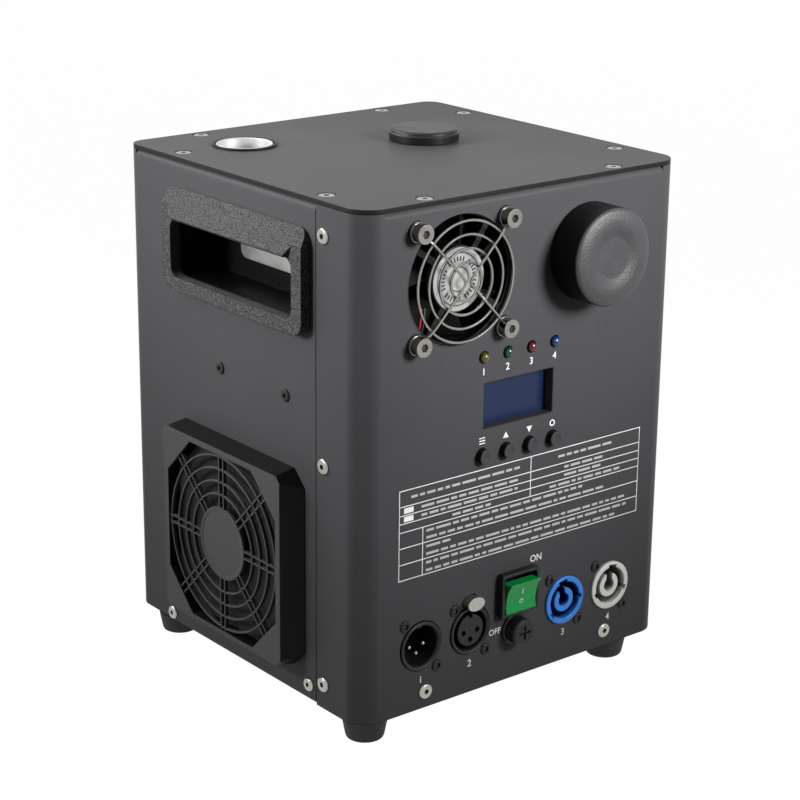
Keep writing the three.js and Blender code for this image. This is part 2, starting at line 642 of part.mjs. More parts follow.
function fanFrame(fan, direction, hubOutside) {
  const m = fanMould;
  const outline = rounded(-fan.size / 2, fan.size / 2, -fan.size / 2, fan.size / 2, m.corner);
  const flanges = [-m.flange, -fan.depth].map((low) => slab(outline, low, low + m.flange, direction));
  const barrel = rod(fan.duct + m.wall, -fan.depth, 0, direction, [0, 0], fine);
  const duct = rod(fan.duct, -fan.depth - overrun, overrun, direction, [0, 0], fine);
  const bore = (place) => rod(m.hole, -fan.depth - overrun, overrun, direction, place, coarse);
  const holes = flatPlaces(fan.pitch).map(bore);
  const [low, high] = hubOutside ? [-m.strutDepth, 0] : [-fan.depth, m.strutDepth - fan.depth];
  const reach = fan.duct + m.wall * half;
  const strut = slab(rectangle(reach, m.strut / 2), low, high, "up");
  const struts = [quarter / 2, -quarter / 2].map((angle) => facing(strut, angle, direction));
  const hub = rod(fan.hub, low, high, direction, [0, 0], fine);
  return join(cut(join(...flanges, barrel), duct, ...holes), ...struts, hub);
}

function fanImpeller(fan, direction, hubOutside) {
  const m = fanMould;
  const gap = m.strutDepth + m.hubGap;
  const [low, high] = hubOutside ? [m.hubGap + fit - fan.depth, -gap] : [gap - fan.depth, -m.hubGap - fit];
  const cup = rod(fan.hub, low, high, direction, [0, 0], fine);
  const chord = (m.bladeShare * (high - low)) / Math.sin(m.bladeAngle) - m.bladeThick;
  const sweep = (chord * Math.cos(m.bladeAngle) + m.bladeThick) / 2;
  const tip = Math.sqrt((fan.duct - m.tipGap) ** 2 - sweep ** 2);
  const [root, mid] = [fan.hub - m.rootSink, (low + high) / 2];
  const blades = [];
  for (let i = 0; i < fan.blades; i++) {
    const geometry = new THREE.BoxGeometry(tip - root, m.bladeThick, chord);
    geometry.applyMatrix4(new THREE.Matrix4().makeRotationX(quarter - m.bladeAngle));
    geometry.translate((tip + root) / 2, 0, mid);
    geometry.applyMatrix4(new THREE.Matrix4().makeRotationZ((turn * i) / fan.blades));
    blades.push(solidOf(face(geometry, direction)));
  }
  return join(cup, ...blades);
}

function wireGuard() {
  const g = guard;
  const rings = g.rings.map((radius) => {
    const geometry = new THREE.TorusGeometry(radius, g.wire, g.wireSides, fine);
    geometry.translate(0, 0, g.ringOut);
    return solidOf(face(geometry, "front"));
  });
  const reach = frontFan.pitch / 2;
  const nearShare = g.bowNear / reach;
  const upperShares = [[1, 1], [0.8, 0.8], [0.4, 0.42], [nearShare, 0.1]];
  const bowShares = [...upperShares, ...upperShares.map(([x, z]) => [x, -z]).reverse()];
  const bows = [-1, 1].map((side) => {
    const points = bowShares.map(([x, z], i) => {
      const out = i === 0 || i === bowShares.length - 1 ? g.headBase + g.wire : g.bowOut;
      return [side * x * reach, -out, z * reach];
    });
    return swept(points, g.wire, g.bowSteps, g.wireSides);
  });
  const screws = flatPlaces(frontFan.pitch).map((place) => {
    const head = turned(
      [[0, -g.shankEnd], [g.shank, -g.shankEnd], [g.shank, fit], [g.washer, fit], [g.washer, g.headBase],
        [g.head, g.headBase], [g.head, g.headOut], [0, g.headOut]],
      "front", place, medium,
    );
    return cut(head, rod(g.socket, g.headOut - g.socketDepth, g.headOut + overrun, "front", place, keySides));
  });
  return join(...rings, ...bows, ...screws);
}

function sideGrille() {
  const g = grille;
  const [base, top] = [chamfered(g.baseY, g.baseZ, g.baseCorner), chamfered(g.faceY, g.faceZ, g.faceCorner)];
  const frame = cut(
    loft(base, fit, top, g.proud, "left", [0, g.lift]),
    slab(chamfered(g.openHalf, g.openHalf, g.openChamfer), -overrun, g.proud + overrun, "left"),
  );
  const bar = (radius) =>
    pipe(radius + g.bar / 2, radius - g.bar / 2, g.back, g.front, "left", [0, 0], g.ringSides);
  const rings = g.rings.map(bar);
  const disc = rod(g.disc, g.back, g.front, "left", [0, 0], g.ringSides);
  const reach = g.openHalf * Math.SQRT2 - (g.openChamfer * Math.SQRT2) / 2 + g.bar;
  const spokes = [];
  for (let i = 0; i < g.spokes; i++) {
    const angle = (turn * i) / g.spokes;
    const [c, s] = [Math.cos(angle), Math.sin(angle)];
    const end = i % 2 ? reach : g.openHalf + g.bar;
    for (const side of [-g.spokeSide, g.spokeSide]) {
      const [n, f] = [side - g.spokeBar / 2, side + g.spokeBar / 2];
      const corner = (along, across) => [along * c - across * s, along * s + across * c];
      const outline = [corner(g.disc - g.bar, n), corner(end, n), corner(end, f), corner(g.disc - g.bar, f)];
      spokes.push(slab(polygon(outline), g.back, g.front, "left"));
    }
  }
  return join(frame, ...rings, disc, ...spokes);
}

const inFrontFan = [frontFan.x, -behind, frontFan.z];
const inSideFan = [-behind, sideFan.y, sideFan.z];
add("front_fan_frame", fanFrame(frontFan, "front", true), finishes.black(), onFront, inFrontFan);
add("front_fan_impeller", fanImpeller(frontFan, "front", true), finishes.black(), onFront, inFrontFan);
add("front_fan_guard", wireGuard(), finishes.chrome(), onFront, [frontFan.x, 0, frontFan.z]);
add("side_fan_frame", fanFrame(sideFan, "left", false), finishes.black(), onLeft, inSideFan);
add("side_fan_impeller", fanImpeller(sideFan, "left", false), finishes.black(), onLeft, inSideFan);
add("side_fan_grille", sideGrille(), finishes.black(), onLeft, [0, sideFan.y, sideFan.z]);
add(
  "side_fan_filter",
  slab(chamfered(filter.half, filter.half, grille.openChamfer), filter.back, filter.front, "left"),
  finishes.black(), onLeft, [0, sideFan.y, sideFan.z],
);

// Clean-out port and its cap

function portNeck() {
  const p = port;
  const reach = front - filler.y;
  const tube = turned(
    [[p.bore, reach], [p.neck, reach], [p.neck, behind - p.flangeThick], [p.flange, behind - p.flangeThick],
      [p.flange, behind], [p.neck, behind], [p.neck, p.reach], [p.bore, p.reach], [p.bore, reach]],
    "front",
  );
  const bowlReach = p.flange + overrun;
  const bowl = rod(hopper.radius + fit, -bowlReach, bowlReach, "up", [-p.aside, -reach], fine);
  return cut(tube, bowl);
}

function portCapSolid() {
  const c = portCap;
  return turned(
    [[0, c.cavityDepth], [c.cavity, c.cavityDepth], [c.cavity, fit], [c.radius, fit], [c.radius, c.rim],
      [c.radius - c.edge, c.rim + c.edge], [c.flat, c.dish], [0, c.dish]],
    "front",
  );
}

add("clean_out_neck", portNeck(), finishes.aluminium(), onFront, [portX, 0, portZ]);
add("clean_out_cap", portCapSolid(), finishes.black(), onFront, [portX, 0, portZ]);
add(
  "clean_out_seal",
  pipe(seal.outer, seal.inner, port.reach + fit, portCap.cavityDepth - fit, "front"),
  finishes.rubber(), onFront, [portX, 0, portZ],
);

// Controls

function statusLight() {
  const [l, n] = [led, lensShares];
  const tip = l.shoulder + l.dome;
  return turned(
    [[0, -l.tail], [l.flange, -l.tail], [l.flange, behind], [l.lens, behind], [l.lens, l.shoulder],
      [l.lens * n.side, l.shoulder + l.dome * n.sideRise], [l.lens * n.top, l.shoulder + l.dome * n.topRise],
      [0, tip]],
    "front", [0, 0], coarse,
  );
}

function pushButton() {
  const b = button;
  const shelf = behind - b.flangeThick;
  return turned(
    [[0, -b.tail], [b.stem, -b.tail], [b.stem, shelf], [b.flange, shelf], [b.flange, behind],
      [b.radius, behind], [b.radius, b.proud - b.edge], [b.radius - b.edge, b.proud], [0, b.proud]],
    "front", [0, 0], medium,
  );
}

function displayModule() {
  const d = display;
  const back = -d.recess - d.thickness + fit;
  return slab(rectangle(d.glassX / 2, d.glassZ / 2), back, -d.recess, "front");
}

function controlBoard() {
  const b = board;
  const [frontFace, backFace] = [-b.front, -b.front - b.thickness];
  const plate = slab(rounded(-b.halfX, b.halfX, b.low, boardHigh, button.edge), backFace, frontFace, "front");
  const [middle, top] = [frontFace - b.thickness * half, frontFace + b.switchRise];
  const square = rectangle(b.switchSize / 2, b.switchSize / 2);
  const switches = controlColumns().map((x) => slab(square, middle, top, "front", [x, buttonZ]));
  const reach = b.chipX / 2;
  const chip = block(-reach, reach, -middle, b.chipRise - backFace, b.chipLow, b.chipLow + b.chipZ);
  return join(plate, ...switches, chip);
}

add("display_module", displayModule(), finishes.glass(), onFront, [controls.x, 0, displayZ]);
add("control_board", controlBoard(), finishes.laminate(), onFront);
["ready", "signal", "fault", "heat"].forEach((name, i) =>
  add(`${name}_light`, statusLight(), finishes.glass(), onFront, [controlColumns()[i], 0, lightZ]),
);
["menu", "up", "down", "enter"].forEach((name, i) =>
  add(`${name}_button`, pushButton(), finishes.black(), onFront, [controlColumns()[i], 0, buttonZ]),
);

// Sockets

function socketBody(barrel, lip) {
  const s = socket;
  const flange = slab(
    rounded(-s.flangeX / 2, s.flangeX / 2, -s.flangeZ / 2, s.flangeZ / 2, s.flangeCorner),
    behind - s.flangeThick, behind, "front",
  );
  const tube = turned(
    [[0, -s.end], [s.endRadius, -s.end], [s.endRadius, -s.tail], [barrel, -s.tail], [barrel, lip], [0, lip]],
    "front",
  );
  return join(flange, tube);
}

function dmxInSocket() {
  const d = dmxIn;
  const cavity = rod(d.cavity, -d.depth, d.lip + overrun, "front", [0, 0], fine);
  const pins = [[-d.pinX, d.pinZ], [d.pinX, d.pinZ], [0, d.pinLowZ]].map((place) =>
    rod(d.pin, -d.depth - overrun, -d.pinTip, "front", place, coarse),
  );
  return join(cut(socketBody(socket.barrel, d.lip), cavity), ...pins);
}

function dmxOutSocket() {
  const d = dmxOut;
  const groove = pipe(d.groove, d.insert, -d.grooveDepth, d.lip + overrun, "front");
  const face = rod(d.insert + fit, d.face, d.lip + overrun, "front", [0, 0], fine);
  const holes = [[-d.holeX, d.holeZ], [d.holeX, d.holeZ], [0, d.holeLowZ]].map((place) =>
    rod(d.hole, -d.holeDepth, d.lip + overrun, "front", place, coarse),
  );
  const outline = oval(latch.halfX + latch.clear, latch.halfZ + latch.clear);
  const way = slab(outline, -latch.back - latch.travel - fit, overrun, "front", [0, latch.z]);
  return cut(socketBody(socket.barrel, d.lip), groove, face, ...holes, way);
}

function powerSocket(keyAngle) {
  const p = power;
  const cavity = rod(p.cavity, -p.depth, p.lip + overrun, "front", [0, 0], fine);
  const w = p.keyWidth / 2;
  const bar = (reach, high) => {
    const outline = polygon([[0, -w], [reach, -w], [reach, w], [0, w]]);
    return facing(slab(outline, -p.depth, high, "up"), keyAngle, "front");
  };
  const key = bar(p.key, p.lip + overrun);
  const post = cut(
    pipe(p.post, p.postBore, -p.depth - fit, p.postFront, "front", [0, 0], medium),
    bar(p.post + overrun, p.postFront + overrun),
  );
  return join(cut(socketBody(p.barrel, p.lip), cavity, key), post);
}

const inRow = (x) => [x, 0, socketRow.z];
add("dmx_in_socket", dmxInSocket(), finishes.black(), onFront, inRow(socketRow.dmxIn));
add("dmx_out_socket", dmxOutSocket(), finishes.black(), onFront, inRow(socketRow.dmxOut));
add(
  "dmx_out_latch",
  slab(oval(latch.halfX, latch.halfZ), -latch.back, latch.out, "front", [0, latch.z]),
  finishes.steel(), onFront, inRow(socketRow.dmxOut),
);
add("power_in_socket", powerSocket(power.keyAngleIn), finishes.blue(), onFront, inRow(socketRow.powerIn));
add("power_out_socket", powerSocket(power.keyAngleOut), finishes.grey(), onFront, inRow(socketRow.powerOut));

// Rocker switch, resting at OFF with its upper half proud

function rockerHousing() {
  const r = rocker;
  const outline = rounded(-r.frameX, r.frameX, -r.frameZ, r.frameZ, r.frameCorner);
  const frame = slab(outline, fit, r.frameOut, "front");
  const box = slab(rectangle(r.bodyX, r.bodyZ), -r.depth, r.frameOut, "front");
  const well = slab(rectangle(r.wellX, r.wellZ), -r.wellDepth, r.frameOut + overrun, "front");
  const tab = rectangle(r.tab, r.tabThick);
  const tabs = [-r.tabGap, 0, r.tabGap].map((z) =>
    slab(tab, -r.depth - r.tabLength, -r.depth + overrun, "front", [0, z]),
  );
  return join(cut(join(frame, box), well), ...tabs);
}

function rockerKey() {
  const r = rocker;
  const outline = [
    [r.crestHalf, r.crest], [r.crestHalf * half, r.valley + fit], [0, r.valley],
    [-r.crestHalf * half, r.valley + fit], [-r.crestHalf, r.crest], [-r.neckHalf, r.neckOut],
    [-r.footHalf, r.footOut], [0, r.keel], [r.footHalf, r.footOut], [r.neckHalf, r.neckOut],
  ].map(([z, out]) => [-out + r.pivotOut, z]);
  return slab(polygon(outline), -r.keyX, r.keyX, "right");
}

add("rocker_housing", rockerHousing(), finishes.black(), onFront, [rocker.x, 0, rocker.z]);
const key = new THREE.Group();
key.position.set(rocker.x, -rocker.pivotOut, rocker.z);
key.rotation.x = THREE.MathUtils.degToRad(rocker.tilt);
onFront.add(key);
add("power_rocker", rockerKey(), finishes.green(), key);

// Fuse holder

function fuseHolder() {
  const f = fuse;
  return turned(
    [[0, -f.depth], [f.tube, -f.depth], [f.tube, fit], [f.collar, fit], [f.collar, f.collarOut],
      [f.bore, f.collarOut], [f.bore, f.endWall - f.depth], [0, f.endWall - f.depth]],
    "front", [0, 0], medium,
  );
}

function fuseCap() {
  const f = fuse;
  const knob = turned(
    [[0, -f.stemEnd], [f.stem, -f.stemEnd], [f.stem, f.capBase], [f.cap, f.capBase],
      [f.cap, f.capOut - f.capEdge], [f.cap - f.capEdge, f.capOut], [0, f.capOut]],
    "front", [0, 0], medium,
  );
  const groove = (x, z) => slab(rectangle(x / 2, z / 2), f.capOut - f.slotDepth, f.capOut + overrun, "front");
  return cut(knob, groove(f.slotLength, f.slot), groove(f.slot, f.slotLength));
}

const inFuse = [fuse.x, 0, fuse.z];
const linkTop = -fuse.stemEnd - fit;
add("fuse_holder", fuseHolder(), finishes.black(), onFront, inFuse);
add("fuse_cap", fuseCap(), finishes.black(), onFront, inFuse);
add(
  "fuse_link",
  rod(fuse.link, linkTop - fuse.linkLength, linkTop, "front", [0, 0], coarse),
  finishes.glass(), onFront, inFuse,
);

// Powder filler, hopper and nozzle

function powderCap() {
  const f = filler;
  const inside = f.cap - f.capWall;
  return turned(
    [[0, f.rise + fit], [inside, f.rise + fit], [inside, fit], [f.cap, fit], [f.cap, f.capHeight - f.capEdge],
      [f.cap - f.capEdge, f.capHeight], [0, f.capHeight]],
    "up",
  );
}

function fillerNeck() {
  const f = filler;
  const under = -lid.thickness - fit;
  return turned(
    [[f.bore, under - f.flangeThick], [f.flange, under - f.flangeThick], [f.flange, under], [f.neck, under],
      [f.neck, f.rise], [f.bore, f.rise], [f.bore, under - f.flangeThick]],
    "up",
  );
}

function hopperBowl() {
  const h = hopper;
  const [top, w] = [lidUnder - fit, h.wall];
  const shell = turned(
    [[h.spout - w, spoutEnd], [h.spout, spoutEnd], [h.spout, spoutTop], [h.radius, h.shoulder],
      [h.radius, top - h.flangeThick], [h.flange, top - h.flangeThick], [h.flange, top], [h.radius - w, top],
      [h.radius - w, h.shoulder + w * half], [h.spout - w, spoutTop + w * half], [h.spout - w, spoutEnd]],
    "up",
  );
  const mouth = rod(port.bore, 0, h.radius + overrun, "front", [portX - fillerX, portZ], fine);
  return cut(shell, mouth);
}

add("powder_cap", powderCap(), finishes.black(), onLid, [fillerX, filler.y, 0]);
add("filler_neck", fillerNeck(), finishes.aluminium(), onLid, [fillerX, filler.y, 0]);
add("hopper", hopperBowl(), finishes.aluminium(), machine, [fillerX, filler.y, 0]);
function nozzleCollar() {
  const n = nozzle;
  const inside = n.tube + fit;
  return turned(
    [[inside, -n.collarDepth], [n.collarNeck, -n.collarDepth], [n.collarNeck, fit], [n.collar, fit],
      [n.collar, n.collarRise], [inside, n.collarRise], [inside, -n.collarDepth]],
    "up",
  );
}

add("nozzle_collar", nozzleCollar(), finishes.black(), onLid, [nozzleX, nozzleY, 0]);

// Feed line: its own frame stands on the hopper axis, with +X towards the motor

const feedLine = new THREE.Group();
feedLine.position.set(fillerX, filler.y, feedZ);
feedLine.rotation.z = Math.atan2(filler.y - nozzleY, fillerX - nozzleX);
machine.add(feedLine);

function heatingTube() {
  const [low, high] = [tubeBottom - feedZ, lidTop + nozzle.collarRise - feedZ];
  const tube = pipe(nozzle.tube, nozzle.bore, low, high, "up", [0, 0]);
  return cut(tube, rod(feed.bore, 0, nozzle.tube + overrun, "right", [0, 0], medium));
}

function augerHousing() {
  const f = feed;
  const start = -feedSpan;
  const barrel = rod(f.housing, start, f.motorSide, "right", [0, 0]);
  const flange = rod(f.flange, f.motorSide - f.flangeThick, f.motorSide, "right", [0, 0]);
  const tower = rod(f.socket, 0, f.socketRise, "up", [0, 0]);
  const well = rod(hopper.spout + fit, spoutEnd - feedZ - fit, f.socketRise + overrun, "up", [0, 0]);
  const throat = rod(f.mouth, 0, f.socketRise, "up", [0, 0]);
  const bore = rod(f.bore, start - overrun, f.motorSide + overrun, "right", [0, 0]);
  const tube = rod(nozzle.tube + fit, -f.flange, f.flange, "up", [start, 0], fine);
  return cut(join(barrel, flange, tower), bore, throat, well, tube);
}

// The feed screw: a shaft with one continuous flight.
function feedScrew() {
  const s = screw;
  const start = -feedSpan + nozzle.tube + s.clear;
  const end = s.nearMotor;
  const steps = Math.round(((end - start) / s.pitch) * s.stepsPerTurn);
  const points = [];
  const faces = [];
  for (let i = 0; i <= steps; i++) {
    const angle = (turn * i) / s.stepsPerTurn;
    const x = start + ((end - start) * i) / steps;
    for (const [radius, side] of [[s.root, 0], [s.flight, 0], [s.flight, s.thickness], [s.root, s.thickness]])
      points.push(x + side, radius * Math.cos(angle), radius * Math.sin(angle));
    if (i === steps) continue;
    for (let k = 0; k < 4; k++) {
      const [a, b] = [4 * i + k, 4 * i + ((k + 1) % 4)];
      faces.push(a, b, b + 4, a, b + 4, a + 4);
    }
  }
  const last = 4 * steps;
  faces.push(0, 2, 1, 0, 3, 2, last, last + 1, last + 2, last, last + 2, last + 3);
  const flight = new THREE.BufferGeometry();
  flight.setAttribute("position", new THREE.Float32BufferAttribute(points, 3));
  flight.setIndex(faces);
  const shaft = rod(s.shaft, start, feed.motorSide, "right", [0, 0], coarse);
  return join(shaft, solidOf(flight));
}

function feedMotor() {
  const m = motor;
  const start = feed.motorSide + fit;
  const gearbox = rod(m.gearbox, start, start + m.gearboxLength, "right", [0, 0]);
  return join(gearbox, rod(m.can, start, start + m.length, "right", [0, 0]));
}

// The heating coil: one unbroken wire with a straight lead at each end.
function heatingCoil() {
  const c = coil;
  const points = [];
  points.push([coilRadius, -c.lead, 0], [coilRadius, -c.lead * half, 0]);
  for (let i = 0; i <= c.turns * c.stepsPerTurn; i++) {
    const angle = (turn * i) / c.stepsPerTurn;
    points.push([coilRadius * Math.cos(angle), coilRadius * Math.sin(angle), (c.pitch * i) / c.stepsPerTurn]);
  }
  const top = c.pitch * c.turns;
  points.push([coilRadius, c.lead * half, top], [coilRadius, c.lead, top]);
  return swept(points, c.wire, c.turns * c.stepsPerTurn + 2 * c.sides, c.sides);
}

add("heating_tube", heatingTube(), finishes.steel(), feedLine, [-feedSpan, 0, 0]);
add("auger_housing", augerHousing(), finishes.aluminium(), feedLine);
add("feed_auger", feedScrew(), finishes.steel(), feedLine);
add("feed_motor", feedMotor(), finishes.steel(), feedLine);
add(
  "insulation_sleeve",
  pipe(nozzle.tube + fit + sleeve.wall, nozzle.tube + fit, sleeveLow, sleeveHigh, "up", [0, 0]),
  finishes.ceramic(), machine, [nozzleX, nozzleY, 0],
);
const coilLow = sleeveLow + coil.aboveSleeve;
add("induction_coil", heatingCoil(), finishes.copper(), machine, [nozzleX, nozzleY, coilLow]);

// Blower, drawn from its front face backwards, and its duct

function volute(inset) {
  const b = blower;
  const round = arc(0, 0, b.radius - inset, quarter, -2 * quarter - b.tongueAngle, b.steps);
  const reach = -b.outletReach - (inset ? overrun : 0);
  return [...round, ...polygon([[reach, b.outletLow + inset], [reach, b.radius - inset]])];
}

function blowerHousing() {
  const b = blower;
  const shell = slab(volute(0), 0, b.width, "rear");
  const hollow = slab(volute(b.wall), b.wall, b.width - b.wall, "rear");
  const inlet = rod(b.inlet, -overrun, b.wall + overrun, "rear", [0, 0], fine);
  const boss = rod(b.boss, b.width - b.wall - b.bossLength, b.width - b.wall * half, "rear", [0, 0], medium);
  return join(cut(shell, hollow, inlet), boss);
}

function blowerWheel() {
  const w = wheel;
  const back = blower.width - blower.wall - fit - blower.bossLength;
  const [low, high] = [back - w.disc, back];
  const start = high - w.width * half - w.disc;
  const disc = rod(wheelRadius, low, high, "rear", [0, 0], fine);
  const hub = rod(w.hub, high - w.hubDepth, high, "rear", [0, 0], medium);
  const blades = [];
  for (let i = 0; i < w.blades; i++) {
    const geometry = new THREE.BoxGeometry(w.bladeDepth, w.bladeThick, high - start);
    geometry.applyMatrix4(new THREE.Matrix4().makeRotationZ(w.bladeDepth / wheelRadius));
    geometry.translate(wheelRadius - w.bladeDepth, 0, (high + start) / 2);
    geometry.applyMatrix4(new THREE.Matrix4().makeRotationZ((turn * i) / w.blades));
    blades.push(solidOf(face(geometry, "rear")));
  }
  const rim = pipe(wheelRadius, wheelRadius - w.bladeDepth, start, start + w.disc, "rear");
  return join(disc, hub, ...blades, rim);
}

function airDuct() {
  const [b, w] = [blower, duct.wall];
  const [x0, x1] = [left - behind + sideFan.depth + duct.fanGap, b.x - b.outletReach - fit];
  const [y0, y1] = [blowerFront, blowerFront + b.width];
  const [z0, z1] = [blowerZ + b.outletLow, ductTop];
  const box = block(x0, x1, y0, y1, z0, z1);
  const hollow = block(x0 + w, x1 + overrun, y0 + w, y1 - w, z0 + w, z1 - w);
  const place = [nozzleX, nozzleY];
  const ring = rod(duct.socket, z1 - w * half, z1 + duct.socketRise, "up", place, fine);
  const seat = rod(nozzle.tube + fit, z1, z1 + duct.socketRise + overrun, "up", place, fine);
  const way = rod(nozzle.bore, z1 - w - overrun, z1 + overrun, "up", place, fine);
  return cut(join(cut(box, hollow), ring), seat, way);
}

function blowerBracket() {
  const k = bracket;
  const floor = foot.height + sheet + fit;
  const back = blowerFront + blower.width + fit;
  const [x0, x1] = [blower.x - k.halfWidth, blower.x + k.halfWidth];
  return join(
    block(x0, x1, back, back + k.thickness, floor, blowerZ + k.aboveAxis),
    block(x0, x1, back, back + k.foot, floor, floor + k.thickness),
  );
}

const atBlower = [blower.x, blowerFront, blowerZ];
add("blower_housing", blowerHousing(), finishes.black(), machine, atBlower);
add("blower_wheel", blowerWheel(), finishes.black(), machine, atBlower);
add("air_duct", airDuct(), finishes.steel());
add("blower_bracket", blowerBracket(), finishes.steel());

// Power electronics and the fan lead

// A place on the power board, from its share of the board's width or depth.
const onBoard = ([low, high], share) => low + share * (high - low);

function powerElectronics() {
  const b = powerBoard;
  const { x, y } = boardSpan;
  const [base, top] = [boardTop - b.thickness * half, boardTop];
  const plate = block(...x, ...y, top - b.thickness, top);
  const radius = canShares.radius * (y[1] - y[0]);
  const cans = canShares.y.map((share) =>
    rod(radius, base, top + b.canHeight, "up", [onBoard(x, canShares.x), onBoard(y, share)]),
  );
  const coreX = coreShares.x.map((share) => onBoard(x, share));
  const coreY = coreShares.y.map((share) => onBoard(y, share));
  return join(plate, ...cans, block(...coreX, ...coreY, base, top + b.coreHeight));
}

function finnedSink() {
  const h = heatSink;
  const floor = boardTop + fit;
  const [x0, x1] = sinkShares.x.map((share) => onBoard(boardSpan.x, share));
  const y = sinkShares.y.map((share) => onBoard(boardSpan.y, share));
  const base = block(x0, x1, ...y, floor, floor + h.base);
  const fins = [];
  for (let i = 0; i < h.fins; i++) {
    const x = x0 + ((x1 - x0 - h.fin) * i) / (h.fins - 1);
    fins.push(block(x, x + h.fin, ...y, floor + h.base * half, floor + h.height));
  }
  return join(base, ...fins);
}

function leadSolid() {
  const l = fanLead;
  const fanX = frontFan.x - frontFan.size / 2 + l.inset;
  const top = fanBottom - fit;
  const boardX = l.boardInset - board.halfX;
  const boardZ = boardHigh - l.boardDrop;
  const boardBack = board.front + board.thickness + fit + l.radius;
  const low = top - l.drop;
  const near = l.bow * half;
  const points = [
    [fanX, l.back, top], [fanX, l.back, top - l.bow], [fanX + near, l.back, low],
    [boardX, boardBack + near, low - l.bow], [boardX + near, boardBack, boardZ],
    [boardX + near, boardBack, boardZ - l.bow],
  ];
  return swept(points, l.radius, l.steps, l.sides);
}

add("power_board", powerElectronics(), finishes.laminate());
add("heat_sink", finnedSink(), finishes.aluminium());
add("fan_lead", leadSolid(), finishes.black(), onFront);

// The origin is under the middle of the whole object, handles, grille and caps included
const reachLeft = body.width / 2 + grille.proud;
const reachRight = body.width / 2 + handle.hoodProud;
const reachFront = body.depth / 2 + portCap.rim + portCap.edge;
const reachRear = body.depth / 2;
machine.position.set((reachLeft - reachRight) / 2, (reachFront - reachRear) / 2, 0);

const root = new THREE.Group();
root.add(machine);
export default root;
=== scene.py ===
import bpy
import bmesh
import math
import random
from mathutils import Matrix, Vector


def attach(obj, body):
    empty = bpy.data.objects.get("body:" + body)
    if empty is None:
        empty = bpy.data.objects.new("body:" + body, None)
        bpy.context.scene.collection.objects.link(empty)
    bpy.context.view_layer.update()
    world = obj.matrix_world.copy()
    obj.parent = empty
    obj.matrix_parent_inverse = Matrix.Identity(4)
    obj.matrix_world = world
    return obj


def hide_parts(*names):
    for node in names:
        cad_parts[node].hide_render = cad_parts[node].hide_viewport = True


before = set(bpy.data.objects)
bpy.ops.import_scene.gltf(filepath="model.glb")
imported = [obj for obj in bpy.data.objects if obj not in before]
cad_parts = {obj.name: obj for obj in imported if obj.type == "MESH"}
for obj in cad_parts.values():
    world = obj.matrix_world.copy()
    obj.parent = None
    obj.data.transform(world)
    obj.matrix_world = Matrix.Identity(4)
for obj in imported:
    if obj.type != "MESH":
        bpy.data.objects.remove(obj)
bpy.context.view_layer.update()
print("frame loaded:", len(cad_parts), "nodes")

# Lengths are millimetres on the machine's own axes, whose origin stands at middle in the frame
mm = 0.001
middle = Vector((1.5, 9.4, 0))
millimetres = Matrix.Scale(mm, 4)
quarter = math.pi / 2

# how far out each panel lies
reach = {"front": 91.5, "rear": 91.5, "left": 94.0, "right": 94.0, "lid": 247.0, "below": 0.0}

# where the fittings sit, across and up on their own panel
spots = {
    "fan": (-39.6, 209.6), "port": (35.3, 211.8), "display": (-4.0, 148.8), "rocker": (-2.6, 54.3),
    "fuse": (-3.0, 35.3), "sideFan": (1.2, 72.5), "handle": (0, 205.1), "nozzle": (-53.1, 52.4),
    "filler": (24.6, 13.1),
}
columns = (-25.3, -11.1, 3.1, 17.3)
heights = {
    "light": 171.8, "lightNumber": 165.0, "buttonMark": 132.6, "button": 125.6, "socket": 41.4,
    "socketNumber": 24.6,
}
socketAt = {"dmxIn": -59.2, "dmxOut": -30.0, "powerIn": 28.6, "powerOut": 58.3}

# camera, solved from the photograph
camera = {
    "place": (-637.56, -790.59, 454.90), "yaw": 38.925, "pitch": 18.093, "roll": 0.630,
    "lens": 98.45, "sensor": 36.0, "near": 0.01, "far": 50,
}


def shown(name, data):
    made = bpy.data.objects.new(name, data)
    bpy.context.scene.collection.objects.link(made)
    return made


def addCamera(c):
    yaw, pitch, roll = (math.radians(c[k]) for k in ("yaw", "pitch", "roll"))
    ahead = Vector((math.sin(yaw) * math.cos(pitch), math.cos(yaw) * math.cos(pitch), -math.sin(pitch)))
    right = Vector((math.cos(yaw), -math.sin(yaw), 0))
    up = right.cross(ahead)
    tiltedRight = math.cos(roll) * right + math.sin(roll) * up
    tiltedUp = math.cos(roll) * up - math.sin(roll) * right
    data = bpy.data.cameras.new("camera")
    data.sensor_fit = "HORIZONTAL"
    data.sensor_width = c["sensor"]
    data.lens = c["lens"]
    data.clip_start, data.clip_end = c["near"], c["far"]
    lens = shown("camera", data)
    turn = Matrix((tiltedRight, tiltedUp, -ahead)).transposed().to_4x4()
    lens.matrix_world = Matrix.Translation((Vector(c["place"]) + middle) * mm) @ turn
    bpy.context.scene.camera = lens


addCamera(camera)
bpy.context.scene.view_settings.view_transform = "Standard"


# node trees, for shaders and for geometry

class Value:
    # a node's output that takes part in sums
    def __init__(self, net, socket):
        self.net, self.socket = net, socket

    def maths(self, operation, *others):
        return self.net.node("ShaderNodeMath", dict(enumerate((self,) + others)), operation=operation)

    def __add__(self, other):
        return self.maths("ADD", other)

    def __sub__(self, other):
        return self.maths("SUBTRACT", other)

    def __mul__(self, other):
        return self.maths("MULTIPLY", other)


class Net:
    family = "ShaderNode"

    def __init__(self, tree):
        self.tree = tree

    def make(self, kind, sockets=None, **settings):
        node = self.tree.nodes.new(kind if "Node" in kind else self.family + kind)
        for name, value in settings.items():
            setattr(node, name, value)
        for name, value in (sockets or {}).items():
            if isinstance(value, Value):
                self.tree.links.new(value.socket, node.inputs[name])
            else:
                node.inputs[name].default_value = value
        return node

    def node(self, kind, sockets=None, output=0, **settings):
        return Value(self, self.make(kind, sockets, **settings).outputs[output])

    def mix(self, share, one, two):
        return self.node("Mix", {0: share, 6: one, 7: two}, 2, data_type="RGBA")


